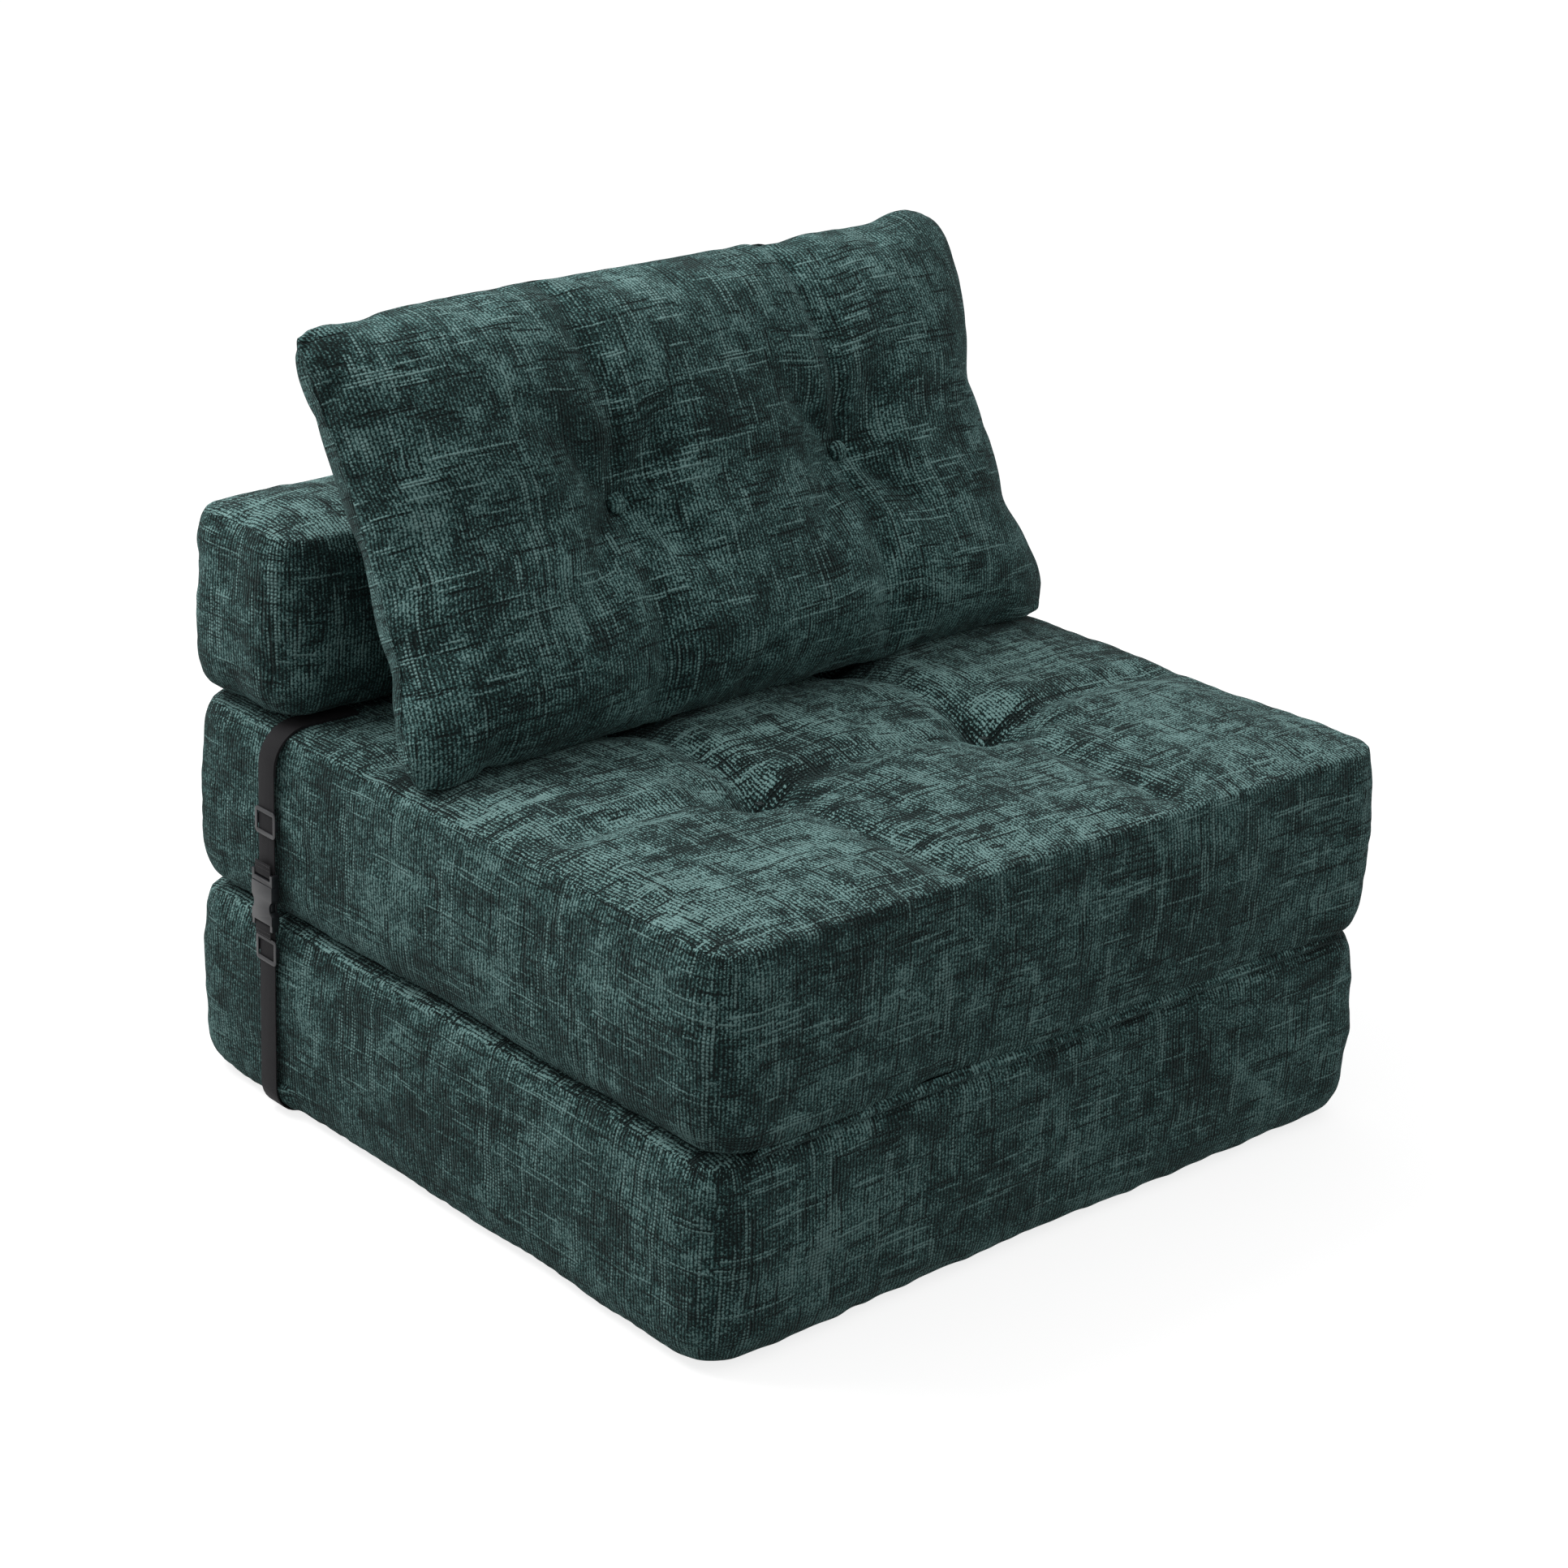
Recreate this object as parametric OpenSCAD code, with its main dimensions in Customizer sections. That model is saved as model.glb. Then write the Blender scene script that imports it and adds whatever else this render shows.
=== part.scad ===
// Folding sofa bed. A base block carries a seat block, which opens out over its front edge.
// A bolster stands on the seat's back and swings out over the seat's back edge.
// A loose pillow with two buttons leans on the bolster. Webbing with buckles holds the fold shut.
// Millimetres. +X is to the right of someone who faces the sofa, +Y is to the back and +Z is up.
// The origin is on the floor, below the middle of the sofa.

/* [Blocks] */
// Width of the base, the seat and the bolster
block_w = 860; // [760:5:1000]
// Depth of the base and of the seat, front to back
block_d = 788; // [720:2:860]
// Height of the base block
base_h = 202; // [185:1:230]
// Height of the seat block at its flat back part, where the bolster stands
seat_h = 193; // [180:1:220]
// Height of the bolster
bolster_h = 188; // [170:1:200]
// Depth of the bolster, front to back
bolster_d = 170; // [155:1:180]

/* [Block edges] */
// Radius of the upright corners, seen from above
corner_r = 42; // [36:1:50]
// Radius of the lying edges
edge_r = 33; // [28:1:38]
// Radius of the edges on both sides of a fabric hinge
hinge_edge_r = 18; // [14:1:24]
// Radius of the seat's front top edge
seat_front_r = 26; // [16:1:30]
// How far a side swells between its upper and lower edge
side_swell = 3; // [1:0.5:4]
// How far a side is drawn in between two corners
side_draw = 4; // [1:0.5:6]
// Height of the crown on the seat
seat_crown = 8; // [5:0.5:12]
// Height of the crown on the bolster
bolster_crown = 6; // [3:0.5:9]

/* [Seat tufts] */
// Distance of each tuft from the seat's middle, to the side
seat_tuft_x = 144; // [130:1:155]
// Distance of each tuft from the seat's middle, to the front or back
seat_tuft_y = 118; // [110:1:130]
// Depth of a tuft below the top of the seat
seat_tuft_depth = 20; // [14:1:24]
// Depth of the sewn creases between the tufts
seat_crease_depth = 9; // [5:1:12]

/* [Covers and foam] */
// Thickness of a cover with its lining
cover_t = 2.5; // [2:0.1:3.5]
// Room between a cover and the foam in it
foam_fit = 0.3; // [0.2:0.1:0.6]
// Room between soft pieces that lie on each other
soft_gap = 0.3; // [0.2:0.1:0.6]

/* [Pillow] */
// Width of the pillow, corner to corner
pillow_w = 842; // [780:2:850]
// Height of the pillow along its slope, corner to corner
pillow_h = 426; // [400:2:440]
// How far the front of the pillow swells from its seam
pillow_front_swell = 62; // [50:1:70]
// How far the back of the pillow swells from its seam
pillow_back_swell = 84; // [76:1:90]
// How far the sides of the pillow are drawn in between its corners
pillow_draw = 24; // [12:1:28]
// Lean of the pillow from upright, in degrees
pillow_lean = 25; // [23:0.2:28]
// Turn of the pillow seen from above, with its right end to the back, in degrees
pillow_turn = 2.8; // [0:0.2:3]
// How far the pillow's middle lies to the left of the sofa's middle
pillow_shift = 1; // [-4:1:8]
// Half the distance between the two buttons on the pillow's front
button_x = 147; // [130:1:155]
// How far the middle of the two buttons lies to the right of the pillow's middle
button_shift = 14; // [0:1:18]
// Radius of a button
button_r = 10.5; // [9:0.5:13]
// Height of a button's dome
button_h = 7; // [5:0.5:9]
// Thickness left between the two buttons of a pair
button_waist = 64; // [56:1:72]
// Radius of the cord between the two buttons of a pair
cord_r = 1; // [0.8:0.1:1.2]

/* [Webbing and buckles] */
// Width of the webbing
strap_w = 25; // [20:1:30]
// Thickness of the webbing
strap_t = 1.2; // [1:0.1:1.4]
// Distance of the webbing's middle from the back of the seat
strap_from_back = 146; // [110:1:160]
// Length of webbing that lies under the bolster
strap_tail = 90; // [60:5:120]
// Radius at which the webbing goes over an edge, at its outer layer
strap_bend = 38; // [35:1:40]
// Length of webbing sewn back after it goes round a bar
strap_fold = 12; // [8:1:16]
// Height of the buckle's mouth above the floor
buckle_z = 244; // [236:1:250]
// Length of the buckle's hollow part
socket_l = 39; // [36:1:42]
// Depth of the hollow in the buckle
socket_hollow = 36; // [33:1:38]
// Thickness of the buckle's plastic walls at its front and back
buckle_wall = 1.7; // [1.4:0.1:2]
// Thickness of the buckle's hollow
hollow_t = 5.4; // [5:0.1:6]
// Width of a plastic rail beside the webbing
rail_w = 3.7; // [3:0.1:4.5]
// Radius of the round bars that the webbing goes round
bar_r = 1.5; // [1.3:0.1:1.7]
// Play of a plastic piece beside the webbing and of the plug in its hollow
plastic_gap = 0.3; // [0.2:0.1:0.4]
// Play on each side of the plug across the hollow
plug_side_play = 1; // [0.9:0.1:1.2]
// Height of the upper adjuster's middle above the floor
upper_adjuster_z = 305; // [298:1:312]
// Height of the lower adjuster's middle above the floor
lower_adjuster_z = 175; // [165:1:178]
// Height of an adjuster
adjuster_h = 27; // [24:1:30]
// Height of an adjuster's upper and lower bars
adjuster_bar = 4.5; // [3.5:0.5:5]

/* [Zips] */
// Width of a closed zip chain
zip_w = 6; // [5:0.5:7]
// Thickness of a zip chain
zip_t = 1.4; // [1.2:0.1:1.6]
// Distance from a block's side to the end of its zip
zip_end = 60; // [58:1:130]
// Length of the pillow's zip
pillow_zip_l = 400; // [300:10:420]
// Length of a zip slider
slider_l = 11; // [9:1:13]
// Length of a zip's pull tab
pull_l = 24; // [18:1:28]

/* [Hidden] */
$fn = 32;
left = -1;
right = 1;
fabric_top = [0.24, 0.38, 0.37];
fabric_side = [0.17, 0.28, 0.28];
foam_colour = [0.86, 0.82, 0.68];
webbing_colour = [0.07, 0.07, 0.08];
plastic_colour = [0.14, 0.14, 0.16];

// Zip slider: its plate lies on the chain and its tab on the plate
plate_t = 1.1;
pull_t = 0.9;
zip_proud = soft_gap + zip_t + soft_gap + plate_t + pull_t;

// Block faces, with the zips' pulls reaching as far back as the fronts reach forward
front_y = -(block_d + zip_proud) / 2;
back_y = front_y + block_d;
middle_y = (front_y + back_y) / 2;
hinge_off = 0.5;
front_hinge_y = front_y - hinge_off;
rear_hinge_y = back_y + zip_proud + hinge_off;

// Levels of the stack, with two layers of webbing between the seat and the bolster
seat_z0 = base_h + soft_gap;
seat_z1 = seat_z0 + seat_h;
layer_gap = 0.2;
inner_off = soft_gap + strap_t / 2;
outer_off = inner_off + strap_t + layer_gap;
bolster_z0 = seat_z1 + outer_off + strap_t / 2 + soft_gap;
bolster_z1 = bolster_z0 + bolster_h;
bolster_y0 = back_y - bolster_d;

// Sewn stitches and creases
stitch_r = 5;
stitch_h = 1.5;
tuft_flat = 18;
crease_reach = 34;
tuft_reach = 46;

// Fall-off of a dip, from 1 at its middle to nothing
function dip(d, reach) = exp(-pow(d / reach, 2));
function limit(x, low, high) = min(max(x, low), high);

// Distance of a point from the nearest of four tufts, less the flat part at its middle
function tuft_distance(x, y, tx, ty) = max(0, max(abs(abs(x) - tx), abs(abs(y) - ty)) - tuft_flat);

// Places across a side, -1 to 1, with three near each rounded corner
function places(half, r, middle) =
  let (f0 = (half - r) / half, f1 = (half - 0.42 * r) / half)
  concat([-1, -f1, -f0], middle, [f0, f1, 1]);

// How far a side is drawn in at the place t, where its corners start at -straight and straight
function drawn(t, straight) = side_draw * max(0, 1 - pow(t / straight, 2));

// Plan point for the place (a, b) in a box with round corners. Sides are drawn in and the back is straight.
function plan(a, b, x0, x1, y0, y1, r) =
  let (
    hx = (x1 - x0) / 2, hy = (y1 - y0) / 2,
    qx = max(abs(a) * hx - hx + r, 0), qy = max(abs(b) * hy - hy + r, 0),
    n = norm([qx, qy]), k = n == 0 ? 1 : max(qx, qy) / n,
    px = min(abs(a) * hx, hx - r) + qx * k - drawn(b, 1 - r / hy) * abs(a),
    py = min(abs(b) * hy, hy - r) + qy * k - (b < 0 ? drawn(a, 1 - r / hx) * abs(b) : 0)
  )
  [(x0 + x1) / 2 + sign(a) * px, (y0 + y1) / 2 + sign(b) * py];

// Places round the rim, counter-clockwise from above, starting at the front left
function rim(ax, by) = concat(
  [for (i = [0:1:len(ax) - 2]) [ax[i], -1]],
  [for (j = [0:1:len(by) - 2]) [1, by[j]]],
  [for (i = [len(ax) - 1:-1:1]) [ax[i], 1]],
  [for (j = [len(by) - 1:-1:1]) [-1, by[j]]]);

// How far a rounded edge of radius r lies inside its face, at the height dz from the edge
function edge_in(dz, r) = dz >= r ? 0 : r - sqrt(max(2 * r * dz - dz * dz, 0));

// Rings of a block from z0 to z1: [sides in, front in, back in, height].
// The radii are [sides, front, back] at the bottom and at the top. shrink gives the same form, smaller.
function block_rings(z0, z1, bottom, top, shrink) =
  let (
    b = [for (r = bottom) r - shrink], t = [for (r = top) r - shrink],
    low = [for (a = [0, 28, 56, 90]) b[0] * (1 - cos(a))],
    high = [for (a = [90, 56, 28, 0]) t[0] * (1 - cos(a))],
    swell = [side_swell, side_swell, 0]
  )
  concat(
    [for (dz = low) concat([for (i = [0:2]) shrink + swell[i] + edge_in(dz, b[i])], z0 + shrink + dz)],
    [[shrink, shrink, shrink, (z0 + z1) / 2]],
    [for (dz = high) concat([for (i = [0:2]) shrink + swell[i] + edge_in(dz, t[i])], z1 - shrink - dz)]);

// Points of one ring of a block whose faces are at -block_w / 2, block_w / 2, y0 and y1
function ring_points(ring, spots, y0, y1) = [
  for (s = spots)
    let (p = plan(s[0], s[1], ring[0] - block_w / 2, block_w / 2 - ring[0], y0 + ring[1], y1 - ring[2],
                  corner_r - 0.4 * ring[0]))
    [p[0], p[1], ring[3]]];

// Faces of the bands between rings of n points, the first ring being the lowest
function bands(n, count) = [
  for (k = [0:1:count - 2], i = [0:1:n - 1], upper = [0, 1])
    let (j = (i + 1) % n, low = k * n, high = low + n)
    upper == 1 ? [low + i, high + i, high + j] : [low + i, high + j, low + j]];
function ring_order(n) = [for (i = [0:1:n - 1]) i];
function back_order(n, start) = [for (i = [n - 1:-1:0]) start + i];

// A closed block with flat ends
module block(rings, ax, by, y0, y1) {
  spots = rim(ax, by);
  n = len(spots);
  points = [for (r = rings) each ring_points(r, spots, y0, y1)];
  faces = concat([ring_order(n)], bands(n, len(rings)), [back_order(n, n * (len(rings) - 1))]);
  polyhedron(points, faces);
}

// Index of the grid place (i, j) on the last ring, which starts at s, or among the inner points after it
function grid_index(i, j, nx, ny, s) =
  let (n = 2 * (nx + ny - 2))
  j == 0 ? s + i
  : i == nx - 1 ? s + nx - 1 + j
  : j == ny - 1 ? s + 2 * (nx - 1) + ny - 1 - i
  : i == 0 ? s + (n - j)
  : s + n + (i - 1) + (j - 1) * (nx - 2);

// Where the seat's crown ends, before the bolster
open_y = bolster_y0 - 20;

// Top of the seat: a crown, sewn creases and four tufts
function seat_top(x, y) =
  let (
    v = y - middle_y, a = 2 * x / block_w, b = 2 * v / block_d,
    crown = seat_crown * (1 - pow(a, 4)) * (1 - pow(b, 4)),
    crease = max(dip(abs(x) - seat_tuft_x, crease_reach), dip(abs(v) - seat_tuft_y, crease_reach)),
    tuft = dip(tuft_distance(x, v, seat_tuft_x, seat_tuft_y), tuft_reach),
    open = limit((open_y - y) / 40, 0, 1)
  )
  seat_z1 + open * (crown - max(seat_crease_depth * crease, (seat_tuft_depth + seat_crown) * tuft));

// The seat's form: side rings and a grid over the top
module seat_form() {
  rings = block_rings(seat_z0, seat_z1, [edge_r, hinge_edge_r, edge_r], [edge_r, seat_front_r, hinge_edge_r], 0);
  across = [for (s = [-1, 1], d = [-100, -tuft_flat - 24, -tuft_flat, 0, tuft_flat, tuft_flat + 24])
    s * (seat_tuft_x - s * d * s) * 2 / block_w];
  ax = places(block_w / 2, corner_r, sorted(concat(0, across)));
  along = [for (s = [-1, 1], d = [tuft_flat + 24, tuft_flat, 0, -tuft_flat, -tuft_flat - 24])
    s * (seat_tuft_y + d) * 2 / block_d];
  // The last row before the bolster lies just behind the crown's end, on the ring at the top
  top_y0 = front_y + side_swell + seat_front_r;
  top_half = (back_y - hinge_edge_r - top_y0) / 2;
  flat_b = (open_y + 2 - top_y0) / top_half - 1;
  by = places(block_d / 2, corner_r, sorted(concat(0, along, -(seat_tuft_y + 80) * 2 / block_d, flat_b)));
  nx = len(ax);
  ny = len(by);
  spots = rim(ax, by);
  n = len(spots);
  last = rings[len(rings) - 1];
  start = n * (len(rings) - 1);
  inner = [
    for (j = [1:1:ny - 2], i = [1:1:nx - 2])
      let (p = ring_points(last, [[ax[i], by[j]]], front_y, back_y)[0])
      [p[0], p[1], seat_top(p[0], p[1])]];
  points = concat([for (r = rings) each ring_points(r, spots, front_y, back_y)], inner);
  top = [
    for (j = [0:1:ny - 2], i = [0:1:nx - 2], half = [0, 1])
      let (
        c = [for (g = [[0, 0], [0, 1], [1, 1], [1, 0]]) grid_index(i + g[0], j + g[1], nx, ny, start)]
      )
      half == 0 ? [c[0], c[1], c[2]] : [c[0], c[2], c[3]]];
  polyhedron(points, concat([ring_order(n)], bands(n, len(rings)), top));
}
function sorted(list) = len(list) < 2 ? list
  : let (m = list[0])
    concat(sorted([for (x = list) if (x < m) x]), m, sorted([for (x = list) if (x > m) x]));

block_ax = places(block_w / 2, corner_r, [-0.5, 0, 0.5]);
block_by = places(block_d / 2, corner_r, [-0.5, 0, 0.5]);
bolster_by = places(bolster_d / 2, corner_r, [0]);

module base_block(shrink) {
  rings = block_rings(0, base_h, [edge_r, edge_r, edge_r], [edge_r, hinge_edge_r, edge_r], shrink);
  block(rings, block_ax, block_by, front_y, back_y);
}
// The seat's hollow and foam end below its tufts
module seat_block(shrink) {
  top_z = seat_z1 - seat_tuft_depth;
  rings = block_rings(seat_z0, top_z, [edge_r, hinge_edge_r, edge_r], [edge_r, edge_r, edge_r], shrink);
  block(rings, block_ax, block_by, front_y, back_y);
}
module bolster_block(shrink) {
  edges = block_rings(bolster_z0, bolster_z1, [edge_r, edge_r, hinge_edge_r], [edge_r, edge_r, edge_r], shrink);
  crown_in = bolster_d / 2 - 20;
  crown = [crown_in, crown_in, crown_in, bolster_z1 + bolster_crown - shrink];
  block(concat(edges, [crown]), block_ax, bolster_by, bolster_y0, back_y);
}

// Webbing that follows points in the upright plane across the sofa
function tangent(p, i) = let (a = p[max(i - 1, 0)], b = p[min(i + 1, len(p) - 1)]) (b - a) / norm(b - a);
function beside(p, off) = [for (i = [0:1:len(p) - 1]) let (t = tangent(p, i)) p[i] + off * [-t[1], t[0]]];
function band(p, t) = let (o = beside(p, t / 2), i = beside(p, -t / 2), n = len(p))
  concat(o, [for (k = [n - 1:-1:0]) i[k]]);
function arc(centre, r, from, to, steps) = [
  for (k = [0:1:steps]) let (a = from + (to - from) * k / steps) centre + r * [cos(a), sin(a)]];
module webbing(path, width, thickness) {
  translate([0, strap_y + width / 2, 0]) rotate([90, 0, 0]) linear_extrude(width) polygon(band(path, thickness));
}
module on_side(side) {
  if (side == left) mirror([1, 0, 0]) children();
  else children();
}

strap_y = back_y - strap_from_back;
side_x = block_w / 2;
line_x = side_x + outer_off;
loop_r = bar_r + plastic_gap + strap_t / 2;
loop_x = line_x + loop_r;
inner_w = strap_w + 2 * plastic_gap;
buckle_w = inner_w + 2 * rail_w;
// Heights of the two round bars: in the plug above the mouth, in the socket below its hollow part
plug_body = 5;
bar_room = loop_r + strap_t / 2 + 1;
plug_bar_z = buckle_z + plastic_gap + plug_body + bar_room;
socket_bar_z = buckle_z - socket_l - bar_room;

function upper_path() = concat(
  [[side_x - strap_tail, seat_z1 + outer_off]],
  arc([line_x - strap_bend, seat_z1 + outer_off - strap_bend], strap_bend, 90, 0, 8),
  arc([loop_x, plug_bar_z], loop_r, 180, 360, 8),
  [[loop_x + loop_r, plug_bar_z + strap_fold]]);
function return_path() =
  let (r = strap_bend - outer_off + inner_off, x = side_x + inner_off, z = seat_z1 + inner_off)
  concat([[side_x - strap_tail, z]], arc([x - r, z - r], r, 90, 0, 8), [[x, z - r - 6]]);
// The lower webbing is sewn in below the base's rounded edge
function lower_path() =
  let (r = strap_bend - 8, z = strap_t / 2 + 0.7)
  concat(
    arc([line_x - r, z + r], r, -90, 0, 8),
    arc([loop_x, socket_bar_z], loop_r, 180, 0, 8),
    [[loop_x + loop_r, socket_bar_z - strap_fold]]);

module upper_strap(side) {
  color(webbing_colour) on_side(side) {
    webbing(upper_path(), strap_w, strap_t);
    webbing(return_path(), strap_w, strap_t);
    // The two layers are sewn together where they end under the bolster
    translate([side_x - strap_tail - 4, strap_y - strap_w / 2, seat_z1 + soft_gap])
      cube([5, strap_w, 2 * strap_t + layer_gap]);
  }
}
module lower_strap(side) {
  color(webbing_colour) on_side(side) webbing(lower_path(), strap_w, strap_t);
}
// A flat plate with round corners, in the plane of the sofa's side
module side_plate(width, height, r, x, thickness) {
  translate([x, 0, 0]) rotate([90, 0, 90]) linear_extrude(thickness) {
    square([width - 2 * r, height], center = true);
    square([width, height - 2 * r], center = true);
    for (sx = [-1, 1], sy = [-1, 1]) translate([sx * (width / 2 - r), sy * (height / 2 - r)]) circle(r);
  }
}
// Adjuster: a frame before the webbing, two deep rails beside it and a bar behind it
module adjuster(side, z) {
  back_x = side_x + soft_gap;
  frame_x = line_x + strap_t / 2 + plastic_gap;
  frame_t = 1.6;
  bar_t = frame_x - 2 * plastic_gap - strap_t - back_x;
  bar_h = 5;
  color(plastic_colour) on_side(side) translate([0, strap_y, z]) {
    difference() {
      side_plate(buckle_w, adjuster_h, 5, frame_x, frame_t);
      translate([frame_x - 1, -inner_w / 2, adjuster_bar - adjuster_h / 2])
        cube([frame_t + 2, inner_w, adjuster_h - 2 * adjuster_bar]);
    }
    for (s = [-1, 1]) translate([back_x, s * (inner_w + rail_w) / 2 - rail_w / 2, -bar_h])
      cube([frame_x + frame_t - back_x, rail_w, 2 * bar_h]);
    translate([back_x, -buckle_w / 2, -bar_h / 2]) cube([bar_t, buckle_w, bar_h]);
  }
}

// Buckle depths, outwards from the sofa's side
socket_x0 = side_x + soft_gap;
hollow_x0 = socket_x0 + buckle_wall;
hollow_x1 = hollow_x0 + hollow_t;
socket_x1 = hollow_x1 + buckle_wall;
hollow_w = inner_w + 1.4;
tongue_t = hollow_t - 4 * plastic_gap;
tongue_x = hollow_x0 + 2 * plastic_gap;
arm_reach = socket_hollow - 6;
arm_w = 4.2;
arm_out = hollow_w / 2 - plug_side_play;

// Two rails and the round bar between them; the webbing goes round the bar
module bar_end(z, from_z) {
  low = min(z - bar_r - 1, from_z);
  high = max(z + bar_r + 1, from_z);
  for (s = [-1, 1]) translate([socket_x0 + 0.7, s * (inner_w + rail_w) / 2 - rail_w / 2, low])
    cube([socket_x1 - socket_x0 - 1.4, rail_w, high - low]);
  translate([loop_x, -inner_w / 2 - 0.5, z]) rotate([-90, 0, 0]) cylinder(r = bar_r, h = inner_w + 1);
}
module buckle_socket(side) {
  bite_r = 9;
  color(plastic_colour) on_side(side) translate([0, strap_y, 0]) {
    difference() {
      translate([socket_x0, -buckle_w / 2, buckle_z - socket_l]) cube([socket_x1 - socket_x0, buckle_w, socket_l]);
      translate([hollow_x0, -hollow_w / 2, buckle_z - socket_hollow]) cube([hollow_t, hollow_w, socket_hollow + 1]);
      for (s = [-1, 1]) translate([socket_x0 - 1, s * (buckle_w / 2 + bite_r - 4), buckle_z - 22])
        rotate([0, 90, 0]) cylinder(r = bite_r, h = socket_x1 - socket_x0 + 2);
    }
    bar_end(socket_bar_z, buckle_z - socket_l + 0.5);
  }
}
module buckle_plug(side) {
  z0 = buckle_z + plastic_gap;
  color(plastic_colour) on_side(side) translate([0, strap_y, 0]) {
    translate([socket_x0 + 0.7, -buckle_w / 2, z0]) cube([socket_x1 - socket_x0 - 1.4, buckle_w, plug_body]);
    translate([tongue_x, -3, z0 - arm_reach]) cube([tongue_t, 6, arm_reach + 1]);
    bar_end(plug_bar_z, z0 + plug_body - 0.5);
  }
}
// Latch arm: thin at its root, with a broad pad that shows in the socket's side. way is -1 front, 1 rear.
module plug_arm(side, way) {
  top_z = buckle_z - plastic_gap;
  pad_l = 19;
  color(plastic_colour) on_side(side) translate([0, strap_y, 0]) {
    translate([tongue_x, way * (arm_out - 1.6) - 1, top_z - arm_reach + 2]) cube([tongue_t, 2, arm_reach - 2]);
    translate([tongue_x, way * (arm_out - arm_w / 2) - arm_w / 2, top_z - arm_reach]) cube([tongue_t, arm_w, pad_l]);
  }
}

// Fabric strip in the groove at a hinge: it lies on the two rounded edges. turn is 1 at the front, -1 at the back.
strip_l = block_w - 2 * corner_r - 10;
strip_t = 1.2;
module hinge_strip(face_y, swell, turn, low_z, high_z) {
  r = hinge_edge_r + soft_gap + strip_t / 2;
  cy = swell + hinge_edge_r;
  lower = [for (a = [20:10:60]) [cy - r * cos(a), low_z - hinge_edge_r + r * sin(a)]];
  upper = [for (a = [60:-10:20]) [cy - r * cos(a), high_z + hinge_edge_r - r * sin(a)]];
  color(fabric_side) translate([-strip_l / 2, face_y, 0]) mirror([0, turn < 0 ? 1 : 0, turn < 0 ? 0 : 0])
    rotate([90, 0, 90]) linear_extrude(strip_l) polygon(band(concat(lower, upper), strip_t));
}

// Zip chain along X, lying on a face that looks to +Y, and its slider with a pull tab that hangs down
module zip_chain(length) {
  translate([-length / 2, soft_gap, -zip_w / 2]) cube([length, zip_t, zip_w]);
}
module zip_slider(length) {
  flange_t = 1.3;
  inner = zip_w + 2 * soft_gap;
  under = soft_gap + zip_t + soft_gap;
  translate([length / 2 - 2 * slider_l, 0, 0]) {
    translate([0, under, -inner / 2 - flange_t]) cube([slider_l, plate_t, inner + 2 * flange_t]);
    for (s = [-1, 1]) translate([0, soft_gap, s * (inner + flange_t) / 2 - flange_t / 2])
      cube([slider_l, zip_t + soft_gap + 0.1, flange_t]);
    translate([slider_l / 2 - 3, under + plate_t - 0.05, -pull_l]) cube([6, pull_t + 0.05, pull_l + 2]);
  }
}
zip_l = block_w - 2 * zip_end;
base_zip_z = base_h / 2;
seat_zip_z = seat_z0 + seat_h / 2;
bolster_zip_z = (bolster_z0 + bolster_z1) / 2;

// Pillow: its own frame has X across, Z up its slope and Y through its thickness, to the back.
// It stands on the seat's crown. It is turned a little, as it was put down.
pillow_wall = 12;
pillow_press = 1.5;
pillow_rest = seat_z1 + seat_crown - pillow_press + soft_gap;
pillow_sink = 7.5;
pillow_z = pillow_rest - pillow_sink;
// A point of the pillow's frame, for a pillow whose seam stands at y = 0 at its middle
function leant(p) =
  let (y = p[2] * sin(pillow_lean) + p[1] * cos(pillow_lean))
  [p[0] * cos(pillow_turn) - y * sin(pillow_turn) - pillow_shift,
    p[0] * sin(pillow_turn) + y * cos(pillow_turn),
    pillow_z + p[2] * cos(pillow_lean) - p[1] * sin(pillow_lean)];
module on_pillow() {
  translate([-pillow_shift, pillow_y, pillow_z]) rotate([0, 0, pillow_turn]) rotate([-pillow_lean, 0, 0])
    children();
}
module at_buttons() {
  on_pillow() for (s = [-1, 1]) translate([button_shift + s * button_x, 0, pillow_h / 2]) children();
}

// Swell of the pillow at the place (a, b), for one side: creases from the buttons and a flat dimple under each
pillow_crease = 9;
half_mid = pillow_w / 2 - pillow_draw;
function pillow_swell(a, b, swell, waist) =
  let (
    x = a * half_mid, v = b * pillow_h / 2,
    full = swell * sqrt((1 - pow(a, 6)) * (1 - pow(b, 4))),
    beside_button = abs(abs(x - button_shift) - button_x),
    seam = max(dip(beside_button, crease_reach), 0.7 * dip(v, crease_reach)),
    flat = dip(max(0, max(beside_button, abs(v)) - tuft_flat), tuft_reach)
  )
  max(0, full - max(pillow_crease * seam * full / swell, (full - waist / 2) * flat));
// Point of the pillow's form at (a, b): way is -1 for the front, 1 for the back, 0 on the seam
function loose_point(a, b, way, shrink) =
  let (
    u = a * (pillow_w / 2 - shrink - pillow_draw * (1 - b * b)),
    v = pillow_h / 2 + b * (pillow_h / 2 - shrink - pillow_draw / (b < 0 ? 3 : 8) * (1 - a * a)),
    swell = way < 0 ? pillow_front_swell : pillow_back_swell,
    thin = shrink * (1 - pow(a, 8)) * (1 - pow(b, 8)),
    w = way == 0 ? 0 : way * max(0, pillow_swell(a, b, swell, button_waist) - thin),
    p = leant([u, w, v])
  )
  [p[0], p[1], max(p[2], pillow_rest + shrink * 0.6)];
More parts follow.
